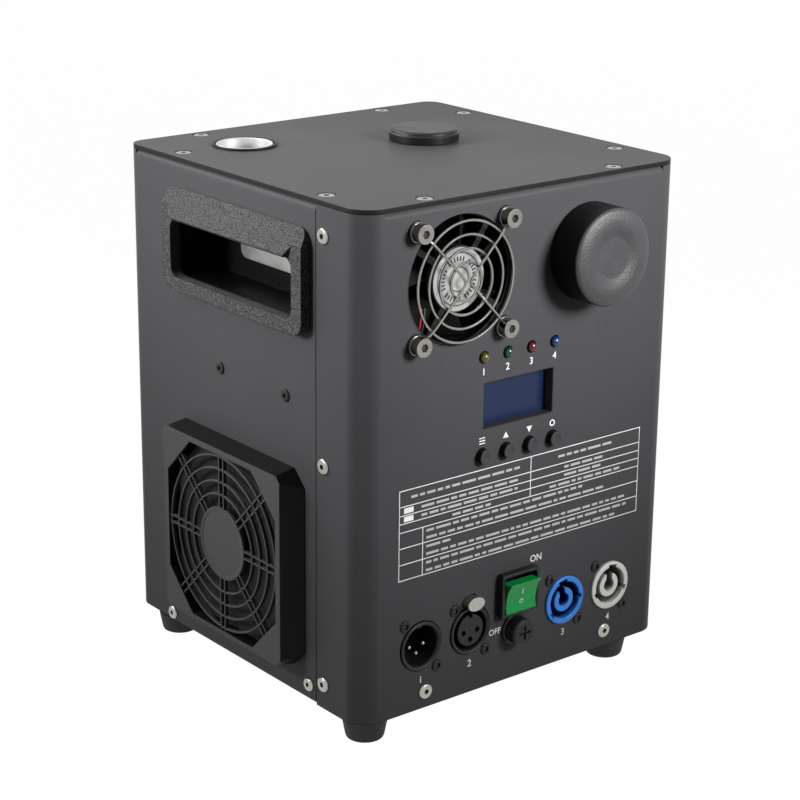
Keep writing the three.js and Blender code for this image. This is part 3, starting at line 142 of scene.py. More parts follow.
def colour(code):
    parts = [int(code[i:i + 2], 16) / 255 for i in (1, 3, 5)]
    return (*(p / 12.92 if p <= 0.04045 else ((p + 0.055) / 1.055) ** 2.4 for p in parts), 1.0)


class Finish(Net):
    # a material, whose place is where each point lies on its piece
    def __init__(self, name):
        self.material = bpy.data.materials.new(name)
        self.material.use_nodes = True
        super().__init__(self.material.node_tree)
        self.tree.nodes.clear()
        self.place = self.node("TexCoord", output=3)

    def noise(self, place, scale, detail, rough=0.5):
        return self.node("TexNoise", {"Vector": place, "Scale": scale, "Detail": detail, "Roughness": rough})

    def share(self, value, start, end):
        return self.node("MapRange", {0: value, 1: start, 2: end, 3: 0.0, 4: 1.0})

    def below(self, value, limit):
        return self.node("Math", {0: value, 1: limit}, operation="LESS_THAN")

    def done(self, sockets):
        self.make("OutputMaterial", {0: self.node("BsdfPrincipled", sockets)})
        return self.material


# Each finish: two colours, gloss and how far it varies, shine, the size and height of its grain in millimetres,
# the size of its patches and its share of metal
finishKeys = ("base", "second", "rough", "roughSpread", "shine", "grain", "height", "patch", "metal")
finishRows = {
    "coatedSheet": ("#3c3c3e", "#424244", 0.52, 0.06, 0.1, 0.7, 0.022, 35, 0.0),
    "coatedLid": ("#424242", "#484848", 0.5, 0.08, 0.12, 0.6, 0.02, 40, 0.0),
    "handlePlastic": ("#09090a", "#6a6a6a", 0.62, 0.12, 0.08, 0.5, 0.16, 0.42, 0.0),
    "blackPlastic": ("#131315", "#1a1a1c", 0.42, 0.08, 0.25, 0.5, 0.02, 12, 0.0),
    "fillerTop": ("#171716", "#1d1d1c", 0.4, 0.08, 0.3, 0.7, 0.04, 10, 0.0),
    "buttonFace": ("#2b2b2d", "#313133", 0.45, 0.08, 0.25, 0.8, 0.02, 8, 0.0),
    # this row and the next are near-black painted shade for the walls round mouldings
    "lidEdge": ("#0b0b0c", "#111112", 0.45, 0.06, 0.15, 0.6, 0.02, 20, 0.0),
    "capSide": ("#08080a", "#0e0e10", 0.45, 0.08, 0.15, 0.6, 0.03, 12, 0.0),
    "capPlastic": ("#29292b", "#323234", 0.44, 0.1, 0.4, 0.7, 0.2, 10, 0.0),
    # painted shade for the grille frame's sloping walls
    "grilleSide": ("#0a0a0b", "#101011", 0.5, 0.06, 0.1, 0.5, 0.02, 14, 0.0),
    "grillePlastic": ("#3a3a3c", "#404042", 0.45, 0.08, 0.15, 0.5, 0.035, 18, 0.0),
    "fanPlastic": ("#0c0c0d", "#121214", 0.4, 0.08, 0.2, 0.8, 0.02, 15, 0.0),
    "filterFoam": ("#020203", "#08080a", 0.95, 0.04, 0.5, 1.6, 0.5, 2.4, 0.0),
    "rubberFoot": ("#161617", "#1f1f20", 0.8, 0.1, 0.5, 0.6, 0.05, 8, 0.0),
    "brightPlate": ("#85837d", "#a3a19b", 0.2, 0.1, 0.5, 1.5, 0.008, 6, 1.0),
    "screwSteel": ("#989791", "#b4b3ad", 0.28, 0.12, 0.5, 0.6, 0.012, 3, 1.0),
    "blackScrew": ("#0d0d0e", "#1c1c1d", 0.35, 0.1, 0.5, 0.5, 0.01, 3, 0.6),
    "brushedSteel": ("#a4a4a3", "#bcbbb8", 0.34, 0.16, 0.5, 0.5, 0.012, 20, 1.0),
    "turnedSteel": ("#c9c8c6", "#dedddb", 0.3, 0.12, 0.5, 0.35, 0.01, 25, 1.0),
    "nozzleSteel": ("#a2a19f", "#d6d5d3", 0.45, 0.1, 0.5, 0.6, 0.01, 25, 0.5),
    "aluminium": ("#b9bbbd", "#cfd0d1", 0.36, 0.1, 0.5, 0.6, 0.015, 16, 1.0),
    "copperTube": ("#a8592c", "#c9794a", 0.3, 0.14, 0.5, 1.2, 0.01, 9, 1.0),
    "ceramicWrap": ("#cfc9bb", "#e4dfd3", 0.9, 0.05, 0.5, 1.1, 0.3, 5, 0.0),
    "bluePlastic": ("#2a80d8", "#2675ca", 0.34, 0.06, 0.5, 0.8, 0.01, 14, 0.0),
    "greyPlastic": ("#d9dad5", "#cecfc9", 0.36, 0.06, 0.5, 0.8, 0.01, 14, 0.0),
    "fuseGlass": ("#c8d0d4", "#dde3e6", 0.08, 0.03, 0.5, 2, 0.002, 6, 0.0),
    "whitePrint": ("#dcdcdc", "#ececec", 0.6, 0.05, 0.5, 0.3, 0.004, 5, 0.0),
    "dimPrint": ("#a6a6a6", "#b8b8b8", 0.6, 0.05, 0.5, 0.3, 0.004, 1.2, 0.0),
    "hubLabel": ("#a2a2a3", "#b0afaf", 0.36, 0.1, 0.5, 0.5, 0.006, 7, 0.75),
    "redLead": ("#a01620", "#b81e28", 0.4, 0.05, 0.5, 0.5, 0.01, 6, 0.0),
    "darkLead": ("#0e2a20", "#12362a", 0.4, 0.05, 0.5, 0.5, 0.01, 6, 0.0),
    "innerDark": ("#0a0a0b", "#101012", 0.7, 0.08, 0.5, 0.6, 0.01, 12, 0.0),
}
finishExtras = {
    "coatedLid": {"stretch": (1, 0.04, 1)}, "brushedSteel": {"stretch": (1, 0.03, 1)},
    "turnedSteel": {"stretch": (0.05, 0.05, 1)}, "nozzleSteel": {"stretch": (0.05, 0.05, 1)},
    # the handle's pocket colour is painted shade, laid on where the moulding lies behind the panel
    "handlePlastic": {"speckle": (0.42, 0.68), "pocket": "#030304", "rim": (94.5, 93.0)},
    "filterFoam": {"speckle": (0.42, 0.68)},
    # the power sockets' darker tints are painted shade, deepening into their recesses
    "bluePlastic": {"depthTint": "#03105c"}, "greyPlastic": {"depthTint": "#6b6b62"},
}
finishes = {name: dict(zip(finishKeys, row), **finishExtras.get(name, {})) for name, row in finishRows.items()}
# millimetres behind the front over which the painted recess shade deepens
recessShadeRange = (0.4, 2.2)
lenses = {
    "lensYellow": ("#4f4a10", 1.0), "lensGreen": ("#063f1e", 1.0), "lensRed": ("#560813", 1.0),
    "lensBlue": ("#0b3467", 1.0), "switchGreen": ("#0f9a48", 0.1),
}


def surface(name, f):
    net = Finish(name)
    stretched = net.node("Mapping", {0: net.place, 3: f.get("stretch", (1, 1, 1))})
    grain = net.noise(stretched, 1 / (f["grain"] * mm), 3.0, 0.55)
    patch = net.noise(net.place, 1 / (f["patch"] * mm), 4.0, 0.6)
    share = patch
    if "speckle" in f:
        ramp = net.make("ValToRGB", {0: patch})
        for stop, at, level in zip(ramp.color_ramp.elements, f["speckle"], (0, 1)):
            stop.position, stop.color = at, (level, level, level, 1)
        share = Value(net, ramp.outputs[0])
    tint = net.mix(share, colour(f["base"]), colour(f["second"]))
    gloss = (patch - 0.5) * f["roughSpread"] * 2 + (grain - 0.5) * f["roughSpread"] + f["rough"]
    relief = net.node("Bump", {"Strength": 1.0, "Distance": f["height"] * mm, "Height": grain})
    if "pocket" in f:
        # behind the panel the moulding is smoother, and its near-black colour there is painted shade in the
        # handle's recess
        across = net.node("SeparateXYZ", {0: net.place}) - middle.x * mm
        inside = net.share(across.maths("ABSOLUTE"), *(edge * mm for edge in f["rim"]))
        tint = net.mix(inside, tint, colour(f["pocket"]))
        gloss = gloss - inside * 0.15
    return net.done({
        "Base Color": tint, "Roughness": gloss, "Metallic": f["metal"], "Normal": relief,
        "Specular IOR Level": f["shine"]})


def lensMaterial(name, code, coat):
    # a tinted, clear-coated lens with a slightly deeper cloud in it
    net = Finish(name)
    cloud = net.noise(net.place, 420.0, 2.0)
    deep = tuple(part * 0.55 for part in colour(code)[:3]) + (1.0,)
    return net.done({
        "Base Color": net.mix(cloud, colour(code), deep), "Roughness": cloud * 0.06 + 0.34 - 0.24 * coat,
        "Specular IOR Level": 0.2, "Coat Weight": coat * 0.6, "Coat Roughness": 0.03})


def screenMaterial(name):
    # the switched-off blue display, with a faint pixel grid
    net = Finish(name)
    spread = net.noise(net.place, 45.0, 3.0)
    upright = net.node("Mapping", {0: net.place, 2: (quarter, 0, 0)})
    pixels = {"Vector": upright, "Scale": 900.0, "Mortar Size": 0.04, "Brick Width": 0.5, "Row Height": 0.5}
    cells = net.node("TexBrick", pixels, 1, offset=0.0)
    tint = net.mix(cells * 0.25, net.mix(spread, colour("#131d38"), colour("#192645")), colour("#0f1630"))
    return net.done({"Base Color": tint, "Roughness": spread * 0.06 + 0.22, "Specular IOR Level": 0.2})


def boardMaterial(name):
    # solder mask with traces and bright pads
    net = Finish(name)
    edges = {"distance": "MANHATTAN", "feature": "DISTANCE_TO_EDGE"}
    line = net.below(net.node("TexVoronoi", {"Vector": net.place, "Scale": 160.0}, **edges), 0.06)
    dot = net.below(net.node("TexVoronoi", {"Vector": net.place, "Scale": 240.0}), 0.16)
    tint = net.mix(dot, net.mix(line, colour("#0f4a2a"), colour("#1d6b3e")), colour("#c9c6b4"))
    return net.done({"Base Color": tint, "Roughness": dot * -0.2 + 0.5, "Metallic": dot * 0.8})


look = {name: surface(name, f) for name, f in finishes.items()}
for name, (code, coat) in lenses.items():
    look[name] = lensMaterial(name, code, coat)
look["screen"] = screenMaterial("screen")
look["circuitBoard"] = boardMaterial("circuitBoard")
print("finishes made:", len(look))


# drawing on a panel: along it, up it and out of it
axesOf = {
    "front": ((1, 0, 0), (0, 0, 1), (0, -1, 0)), "rear": ((-1, 0, 0), (0, 0, 1), (0, 1, 0)),
    "left": ((0, -1, 0), (0, 0, 1), (-1, 0, 0)), "right": ((0, 1, 0), (0, 0, 1), (1, 0, 0)),
    "lid": ((1, 0, 0), (0, 1, 0), (0, 0, 1)), "below": ((1, 0, 0), (0, -1, 0), (0, 0, -1)),
}
mirrored = ("left", "rear")


def frameAt(side, centre=(0, 0)):
    # from millimetres on a panel to metres in the frame; centre is on the machine's own axes
    along, up, out = (Vector(axis) for axis in axesOf[side])
    x, y = centre
    origin = out * reach[side] + along * (-x if side in mirrored else x) + middle
    origin += up * (-y if side == "below" else y)
    return Matrix.Translation(origin * mm) @ Matrix((along, up, out)).transposed().to_4x4() @ millimetres


def dressed(made, material):
    made.data.materials.clear()
    made.data.materials.append(look[material])
    return made


def smoothed(mesh, angle=32):
    mesh.shade_smooth()
    mesh.set_sharp_from_angle(angle=math.radians(angle))


def settled(made):
    # the piece as a plain mesh, with its modifiers applied
    bpy.context.view_layer.update()
    mesh = bpy.data.meshes.new_from_object(made.evaluated_get(bpy.context.evaluated_depsgraph_get()))
    if made.type == "MESH":
        made.modifiers.clear()
        old = made.data
        made.data = mesh
        bpy.data.meshes.remove(old)
        return made
    fresh = shown(made.name, mesh)
    bpy.data.objects.remove(made)
    return fresh


def eased(made, width, segments=2, angle=35):
    bevel = made.modifiers.new("edges", "BEVEL")
    bevel.width = width * mm
    bevel.segments = segments
    bevel.limit_method = "ANGLE"
    bevel.angle_limit = math.radians(angle)
    bevel.harden_normals = True
    return settled(made)


def closed(mesh, near=0.0005, fill=False):
    # joins doubled points, fills pinholes where asked and turns every face outwards
    build = bmesh.new()
    build.from_mesh(mesh)
    bmesh.ops.remove_doubles(build, verts=build.verts, dist=near)
    if fill:
        bmesh.ops.holes_fill(build, edges=[edge for edge in build.edges if edge.is_boundary], sides=0)
    bmesh.ops.recalc_face_normals(build, faces=build.faces)
    build.to_mesh(mesh)
    build.free()


def meshFrom(build, name):
    mesh = bpy.data.meshes.new(name)
    build.to_mesh(mesh)
    build.free()
    return mesh


def shaped(name, points, faces, outward=True):
    # a mesh from its points and the faces between them
    build = bmesh.new()
    corners = [build.verts.new(point) for point in points]
    for face in faces:
        build.faces.new([corners[i] for i in face])
    if outward:
        bmesh.ops.recalc_face_normals(build, faces=build.faces)
    return meshFrom(build, name)


def extruded(name, start, end):
    # a closed bar between two like loops of points
    n = len(start)
    walls = [(i, (i + 1) % n, n + (i + 1) % n, n + i) for i in range(n)]
    return shaped(name, start + end, [range(n)[::-1], range(n, 2 * n)] + walls)


def softened(points, radius, steps=3):
    # rounds the inner corners of a profile
    result = [Vector(points[0])]
    for before, at, after in zip(points, points[1:], points[2:]):
        before, at, after = Vector(before), Vector(at), Vector(after)
        length = min(radius, (before - at).length * 0.45, (after - at).length * 0.45)
        start = at + (before - at).normalized() * length
        end = at + (after - at).normalized() * length
        for i in range(steps + 1):
            t = i / steps
            result.append(start * (1 - t) ** 2 + at * 2 * t * (1 - t) + end * t ** 2)
    result.append(Vector(points[-1]))
    return result


def turned(name, side, centre, profile, material, soft=0.0, sides=64):
    # a profile of (radius, out) points turned about the outward direction
    points = softened(profile, soft) if soft else [Vector(p) for p in profile]
    ringed = (Vector(profile[0]) - Vector(profile[-1])).length < 1e-6
    if ringed:
        points = points[:-1]
    places, loops, faces = [], [], []
    for p in points:
        turns = [math.tau * i / sides for i in range(1 if p.x < 1e-6 else sides)]
        loops.append(range(len(places), len(places) + len(turns)))
        places += [(p.x * math.cos(t), p.x * math.sin(t), p.y) for t in turns]
    for one, two in list(zip(loops, loops[1:])) + ([(loops[-1], loops[0])] if ringed else []):
        for i in range(sides):
            j = (i + 1) % sides
            corners = (one[i % len(one)], one[j % len(one)], two[j % len(two)], two[i % len(two)])
            if len(set(corners)) > 2:
                faces.append(list(dict.fromkeys(corners)))
    mesh = shaped(name, places, faces)
    mesh.transform(frameAt(side, centre))
    smoothed(mesh)
    return dressed(shown(name, mesh), material)


def arc(x, y, radius, start, end, steps):
    turns = [start + (end - start) * i / steps for i in range(steps + 1)]
    return [(x + radius * math.cos(t), y + radius * math.sin(t)) for t in turns]


def ring(radius, x=0.0, y=0.0, steps=48):
    return arc(x, y, radius, 0, math.tau, steps)[:-1]


def oval(half, x=0.0, y=0.0, steps=32):
    return [(x + half[0] * along, y + half[1] * up) for along, up in ring(1.0, steps=steps)]


def roundedBox(x0, x1, y0, y1, radius, steps=8):
    points = []
    for x, y, turn in ((x1, y1, 0), (x0, y1, 1), (x0, y0, 2), (x1, y0, 3)):
        cx = x - radius if turn in (0, 3) else x + radius
        cy = y - radius if turn in (0, 1) else y + radius
        points += arc(cx, cy, radius, turn * quarter, (turn + 1) * quarter, steps)
    return points


def centredBox(half, radius, steps=8, x=0.0, y=0.0):
    return roundedBox(x - half[0], x + half[0], y - half[1], y + half[1], radius, steps)


def square(a, b):
    return [(a, b), (-a, b), (-a, -b), (a, -b)]


def fourCorners(a, b):
    return [(x, y) for x in (-a, a) for y in (-b, b)]


def besides(at, x, y):
    # a side and a centre on it, moved along and up
    return (at[0], (at[1][0] + x, at[1][1] + y))


def spoke(turn, start, end, half):
    # a bar that points away from the middle
    c, s = math.cos(turn), math.sin(turn)
    corners = ((start, half), (start, -half), (end, -half), (end, half))
    return [(r * c - w * s, r * s + w * c) for r, w in corners]


def fromCurve(name, curve, material, side, centre=(0, 0), out=0.0):
    # a curve as a closed mesh on its panel
    made = settled(shown(name, curve))
    closed(made.data)
    made.data.transform(Matrix.Translation((0, 0, out)))
    made.data.transform(frameAt(side, centre))
    return dressed(made, material)


def plate(name, side, centre, outline, holes, low, high, material, edge=0.2):
    # a flat plate with holes: filled 2D curves, given thickness and eased edges
    curve = bpy.data.curves.new(name, "CURVE")
    curve.dimensions = "2D"
    curve.fill_mode = "BOTH"
    curve.extrude = (high - low) / 2 - edge
    curve.bevel_depth = edge
    curve.bevel_resolution = 1
    curve.offset = -edge
    for points in [outline] + holes:
        spline = curve.splines.new("POLY")
        spline.points.add(len(points) - 1)
        for point, (x, y) in zip(spline.points, points):
            point.co = (x, y, 0, 1)
        spline.use_cyclic_u = True
    made = fromCurve(name, curve, material, side, centre, (low + high) / 2)
    smoothed(made.data)
    return made


def prism(side, centre, outline, low, high, material=None, name="cutter"):
    mesh = extruded(name, *([(x, y, z) for x, y in outline] for z in (low, high)))
    mesh.transform(frameAt(side, centre))
    made = shown(name, mesh)
    return dressed(made, material) if material else made


def joined(name, pieces):
    build = bmesh.new()
    materials = []
    for piece in pieces:
        start = len(build.faces)
        build.from_mesh(piece.data)
        build.faces.ensure_lookup_table()
        slots = list(piece.data.materials)
        for face in build.faces[start:]:
            used = slots[face.material_index]
            if used not in materials:
                materials.append(used)
            face.material_index = materials.index(used)
    mesh = meshFrom(build, name)
    for used in materials:
        mesh.materials.append(used)
    for piece in pieces:
        bpy.data.objects.remove(piece)
    smoothed(mesh)
    return shown(name, mesh)


def carved(made, cutters):
    # takes the cutters' room out of a piece
    for cutter in cutters:
        taking = made.modifiers.new("cut", "BOOLEAN")
        taking.operation = "DIFFERENCE"
        taking.solver = "EXACT"
        taking.object = cutter
    made = settled(made)
    for cutter in cutters:
        bpy.data.objects.remove(cutter)
    return made


# a face is level from this share of one axis and this area in square millimetres; near is for its neighbours
shading = {"weight": 90, "level": 0.9985, "least": 0.1, "near": 0.93}


def evenShaded(made):
    # flat faces stay flat in shade right up to their eased edges
    weighted = made.modifiers.new("shading", "WEIGHTED_NORMAL")
    weighted.keep_sharp = True
    weighted.weight = shading["weight"]
    made = settled(made)
    mesh = made.data
    normals = [corner.vector.copy() for corner in mesh.corner_normals]
    level = {}
    for face in mesh.polygons:
        if max(abs(part) for part in face.normal) > shading["level"] and face.area > shading["least"] * mm * mm:
            axis = Vector([round(part) for part in face.normal])
            for vertex in face.vertices:
                level.setdefault(vertex, {})[tuple(axis)] = axis
    for face in mesh.polygons:
        for corner, vertex in zip(face.loop_indices, face.vertices):
            for axis in level.get(vertex, {}).values():
                if face.normal.dot(axis) > shading["near"]:
                    normals[corner] = axis
    mesh.normals_split_custom_set(normals)
    return made


def sided(made, side, finish):
    # painted shade: the walls round a moulding take a darker finish of their own, standing in for the shade
    # that falls on them
    outward = Vector(axesOf[side][2])
    made.data.materials.append(look[finish])
    for face in made.data.polygons:
        face.material_index = 1 if face.normal.dot(outward) < 0.5 else 0
    return made


def standsFor(made, slotName, *nodes, body="housing"):
    made = evenShaded(made)
    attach(made, body)
    if nodes:
        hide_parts(*nodes)


class ShapeNet(Net):
    # a geometry tree with inputs of its own, such as Int="Rings"
    family = "GeometryNode"

    def __init__(self, name, **inputs):
        super().__init__(bpy.data.node_groups.new(name, "GeometryNodeTree"))
        self.names = {}
        for kind, labels in {"Geometry": "Geometry", "Material": "Material", **inputs}.items():
            for label in labels.split():
                made = self.tree.interface.new_socket(label, in_out="INPUT", socket_type="NodeSocket" + kind)
                self.names[label] = made.identifier
        self.tree.interface.new_socket("Geometry", in_out="OUTPUT", socket_type="NodeSocketGeometry")
        self.entry = self.tree.nodes.new("NodeGroupInput")

    def __getitem__(self, label):
        return Value(self, self.entry.outputs[label])

    def vector(self, x=0.0, y=0.0, z=0.0):
        return self.node("ShaderNodeCombineXYZ", {0: x, 1: y, 2: z})

    def points(self):
        return self.node("MeshToPoints", {"Mesh": self["Geometry"]})

    def copies(self, points, shape, **how):
        return self.node("InstanceOnPoints", {"Points": points, "Instance": shape, **how})

    def growingRings(self, steps):
        # circles that grow outwards by an even step
        circle = self.node("CurvePrimitiveCircle", {"Resolution": steps, "Radius": 1.0})
        size = self.node("InputIndex") * self["Step"] + self["First"]
        points = self.node("Points", {"Count": self["Rings"]})
        rings = self.copies(points, circle, Scale=self.vector(size, size, 1.0))
        return self.node("RealizeInstances", {0: rings})

    def lifted(self, geometry):
        return self.node("Transform", {"Geometry": geometry, "Translation": self.vector(z=self["Height"])})

    def finished(self, geometry):
        real = self.node("RealizeInstances", {0: geometry})
        dress = self.node("SetMaterial", {"Geometry": real, "Material": self["Material"]})
        self.make("NodeGroupOutput", {0: dress})
        return self


def ringTree():
    # rings of wire
    net = ShapeNet("wireRings", Int="Rings", Float="First Step Wire Height")
    profile = net.node("CurvePrimitiveCircle", {"Resolution": 10, "Radius": net["Wire"]})
    wires = net.node("CurveToMesh", {"Curve": net.growingRings(72), "Profile Curve": profile})
    return net.finished(net.lifted(wires))


def grilleTree():
    # flat rings and pairs of spokes inside an eight-cornered opening
    floats = "First Step Bar Deep Hub Across Corner Apart Thin Height"
    net = ShapeNet("grilleBars", Int="Rings Spokes", Float=floats)
    box = net.node("CurvePrimitiveQuadrilateral", {0: net["Bar"], 1: net["Deep"]})
    soft = net.node("FilletCurve", {"Curve": box, "Count": 3, "Radius": 0.35}, mode="POLY")
    pieces = [net.node("CurveToMesh", {"Curve": net.growingRings(96), "Profile Curve": soft})]
    spokes = net.node("Points", {"Count": net["Spokes"]})
    index = net.node("InputIndex")
    odd = index.maths("MODULO", 2.0)
    long = odd * (net["Corner"] - net["Across"]) + net["Across"] - net["Hub"]
    cube = net.node("MeshCube", {"Size": net.vector(1.0, net["Thin"], net["Deep"])})
    bar = net.node("Transform", {"Geometry": cube, "Translation": (0.5, 0.0, 0.0)})
    for sign in (-0.5, 0.5):
        aimed = net.copies(spokes, bar, Rotation=net.vector(z=index * (math.tau / 8)))
        off = net.vector(net["Hub"], net["Apart"] * sign)
        slid = net.node("TranslateInstances", {"Instances": aimed, "Translation": off, "Local Space": True})
        size = net.vector(long, 1.0, 1.0)
        pieces.append(net.node("ScaleInstances", {"Instances": slid, "Scale": size, "Local Space": True}))
    everything = net.make("JoinGeometry")
    for piece in pieces:
        net.tree.links.new(piece.socket, everything.inputs[0])
    return net.finished(net.lifted(Value(net, everything.outputs[0])))


def repeatTree():
    # one shape set out evenly round an axis
    net = ShapeNet("roundTheAxis", Object="Shape", Int="Count", Float="Turn")
    shape = net.node("ObjectInfo", {"Object": net["Shape"]}, "Geometry")
    turn = net.vector(z=net.node("InputIndex") * net["Turn"])
    return net.finished(net.copies(net.node("Points", {"Count": net["Count"]}), shape, Rotation=turn))


def screwTree():
    # a screw at each given point, every one turned a little differently
    net = ShapeNet("screwsAtPoints", Object="Screw", Float="Size", Int="Seed")
    shape = net.node("ObjectInfo", {"Object": net["Screw"]}, "Geometry")
    spins = {2: 0.0, 3: math.tau, "Seed": net["Seed"]}
    spin = net.node("FunctionNodeRandomValue", spins, 1, data_type="FLOAT")
    size = net.vector(net["Size"], net["Size"], net["Size"])
    return net.finished(net.copies(net.points(), shape, Rotation=net.vector(z=spin), Scale=size))


def barTree():
    # short bars, each as long as its own point says
    net = ShapeNet("shortBars", Float="High Thick")
    long = net.node("InputNamedAttribute", {0: "long"}, data_type="FLOAT")
    bar = net.node("MeshCube", {"Size": net.vector(1.0, net["High"], net["Thick"])})
    return net.finished(net.copies(net.points(), bar, Scale=net.vector(long, 1.0, 1.0)))


def grown(name, net, material, values, side, centre=(0, 0), seedMesh=None):
    made = shown(name, seedMesh or bpy.data.meshes.new(name))
    shaper = made.modifiers.new("shape", "NODES")
    shaper.node_group = net.tree
    for label, value in {**values, "Material": look[material]}.items():
        shaper[net.names[label]] = value
    made = settled(made)
    closed(made.data)
    made.data.transform(frameAt(side, centre))
    smoothed(made.data)
    return dressed(made, material)


wireRings, grilleBars, repeats = ringTree(), grilleTree(), repeatTree()
screwRows, barRows = screwTree(), barTree()
print("node trees made")


# screws: a round head with a six-sided recess, as radius, height, dome and half of the recess
screwSizes = {
    "countersunk": (3.9, 0.0, 0.25, 1.5), "buttonHead": (3.7, 1.2, 0.7, 1.35),
    "smallHead": (2.7, 0.9, 0.4, 1.3),
}


def screwShape(name, radius, height, dome, socket):
    # a pattern in plain millimetres, used only to be repeated
    profile = [(0, -1.0), (radius, -1.0), (radius, height - dome), (radius * 0.86, height), (0, height)]
    head = turned(name, "lid", (0, 0), profile, "screwSteel", 0.3, 32)
    head = carved(head, [prism("lid", (0, 0), ring(socket, steps=6), height - 1.6, height + 1)])
    head.data.transform(frameAt("lid").inverted())
    return head


screwKinds = {name: screwShape(name, *sizes) for name, sizes in screwSizes.items()}


def screws(name, side, places, kind, material="screwSteel", size=1.0, out=0.0, slotName="steel"):
    mesh = bpy.data.meshes.new(name)
    mesh.from_pydata([((-x if side in mirrored else x), y, out) for x, y in places], [], [])
    values = {"Screw": screwKinds[kind], "Size": size, "Seed": len(places)}
    standsFor(grown(name, screwRows, material, values, side, seedMesh=mesh), slotName)


# housing
housing = {
    "halfWidth": 94.0, "halfDepth": 91.5, "bottom": 10.0, "top": 244.7, "sheet": 1.5,
    "frontBend": 12.0, "rearBend": 8.0, "topBend": 3.0, "seamAt": -59.2, "seamGap": 0.5, "notch": 12.0,
    "flange": 12.0, "rearLift": 1.0, "edge": 0.18, "pocket": (49.4, 15.6), "sideFan": 44.0, "overrun": 5,
}
frontHoles = {
    "fan": 29.5, "port": 15.9, "fuse": 6.3, "socket": 12.3, "light": 3.0, "button": 3.75, "fanScrew": 2.3,
    "display": (21.25, 11.1), "rocker": (10.7, 10.1), "latch": (5.3, 3.7), "large": 10,
}
fanPitch = 25.0
latchUp = 14.2


def planLine(which, inset):
    h = housing
    w, d = h["halfWidth"], h["halfDepth"]
    if which == "front":
        r, end = h["frontBend"], h["seamAt"]
        left = [(-w + inset, end)] + arc(-w + r, -d + r, r - inset, 2 * quarter, 3 * quarter, 16)
        return left + arc(w - r, -d + r, r - inset, 3 * quarter, 4 * quarter, 16) + [(w - inset, end)]
    r, end = h["rearBend"], h["seamAt"] + h["seamGap"]
    right = [(w - inset, end)] + arc(w - r, d - r, r - inset, 0, quarter, 14)
    return right + arc(-w + r, d - r, r - inset, quarter, 2 * quarter, 14) + [(-w + inset, end)]


def stripWall(which, low):
    # an upright wall between two open plan lines
    loop = planLine(which, 0) + planLine(which, housing["sheet"])[::-1]
    low, high = low - reach["lid"], housing["top"] - reach["lid"]
    return prism("lid", (0, 0), loop, low, high, "coatedSheet", which + "Wall")


def bentTop(name, start, end, point):
    # a rolled top edge along a straight line; point(depth, z, along) places its profile
    h = housing
    bend, top = h["topBend"], h["top"]
    outer = arc(bend, top - bend, bend, 2 * quarter, quarter, 10)
    inner = arc(bend, top - bend, bend - h["sheet"], quarter, 2 * quarter, 10)
    profile = outer + [(h["flange"], top), (h["flange"], top - h["sheet"])] + inner
    mesh = extruded(name, *([point(d, z, along) for d, z in profile] for along in (start, end)))
    mesh.transform(Matrix.Translation(middle * mm) @ millimetres)
    return dressed(shown(name, mesh), "coatedSheet")


def cutThrough(side, outline, centre=(0, 0)):
    return prism(side, centre, outline, -housing["sheet"] - 1, 1)


def topCut(side, start, end):
    # clears the room of a rolled top edge
    low, high = housing["top"] - housing["topBend"], housing["top"] + housing["overrun"]
    return cutThrough(side, [(start, low), (end, low), (end, high), (start, high)])


def frontShell():
    h, p = housing, frontHoles
    span = h["halfWidth"] - h["notch"]
    cutters = [topCut("front", -span, span)]
    rounds = [(*spots[key], p[key]) for key in ("fan", "port", "fuse")]
    rounds += [(x, heights["socket"], p["socket"]) for x in socketAt.values()]
    for key in ("light", "button"):
        rounds += [(x, heights[key], p[key]) for x in columns]
    x, z = spots["fan"]
    rounds += [(x + along, z + up, p["fanScrew"]) for along, up in fourCorners(fanPitch, fanPitch)]
    for x, z, r in rounds:
        cutters.append(cutThrough("front", ring(r, x, z, 64 if r > p["large"] else 32)))
    for key in ("display", "rocker"):
        cutters.append(cutThrough("front", centredBox(p[key], 0.6, 3, *spots[key])))
    cutters.append(cutThrough("front", oval(p["latch"], socketAt["dmxOut"], heights["socket"] + latchUp)))
    wall = eased(carved(stripWall("front", h["bottom"]), cutters), h["edge"])
    closed(wall.data, 0.002 * mm, fill=True)
    edge = bentTop("frontEdge", -span, span, lambda d, z, x: (x, d - h["halfDepth"], z))
    return joined("frontSheet", [wall, edge])


def rearShell():
    h = housing
    w, d = h["halfWidth"], h["halfDepth"]
    wall = stripWall("rear", h["bottom"] + h["rearLift"])
    start, end, across = h["seamAt"] + h["seamGap"], d - h["rearBend"], w - h["rearBend"]
    cutters = []
    for side in ("left", "right"):
        cutters.append(topCut(side, *((-end, -start + 1) if side == "left" else (start - 1, end))))
        cutters.append(cutThrough(side, centredBox(h["pocket"], 3), spots["handle"]))
    cutters.append(topCut("rear", -across, across))
    cutters.append(cutThrough("left", ring(h["sideFan"], steps=64), spots["sideFan"]))
    wall = eased(carved(wall, cutters), h["edge"])
    edges = [
        bentTop("leftEdge", start, end, lambda depth, z, y: (-w + depth, y, z)),
        bentTop("rightEdge", start, end, lambda depth, z, y: (w - depth, y, z)),
        bentTop("rearEdge", -across, across, lambda depth, z, x: (x, d - depth, z)),
    ]
    return joined("rearSheet", [wall] + edges)


# the lid's screws stand in pairs along its sides and its ends
lid = {
    "thick": 2.0, "side": (85.6, 55.5), "end": (55.7, 85.5), "screw": 4.1, "nozzle": 14.9, "filler": 15.0,
    "edge": 0.22,
}


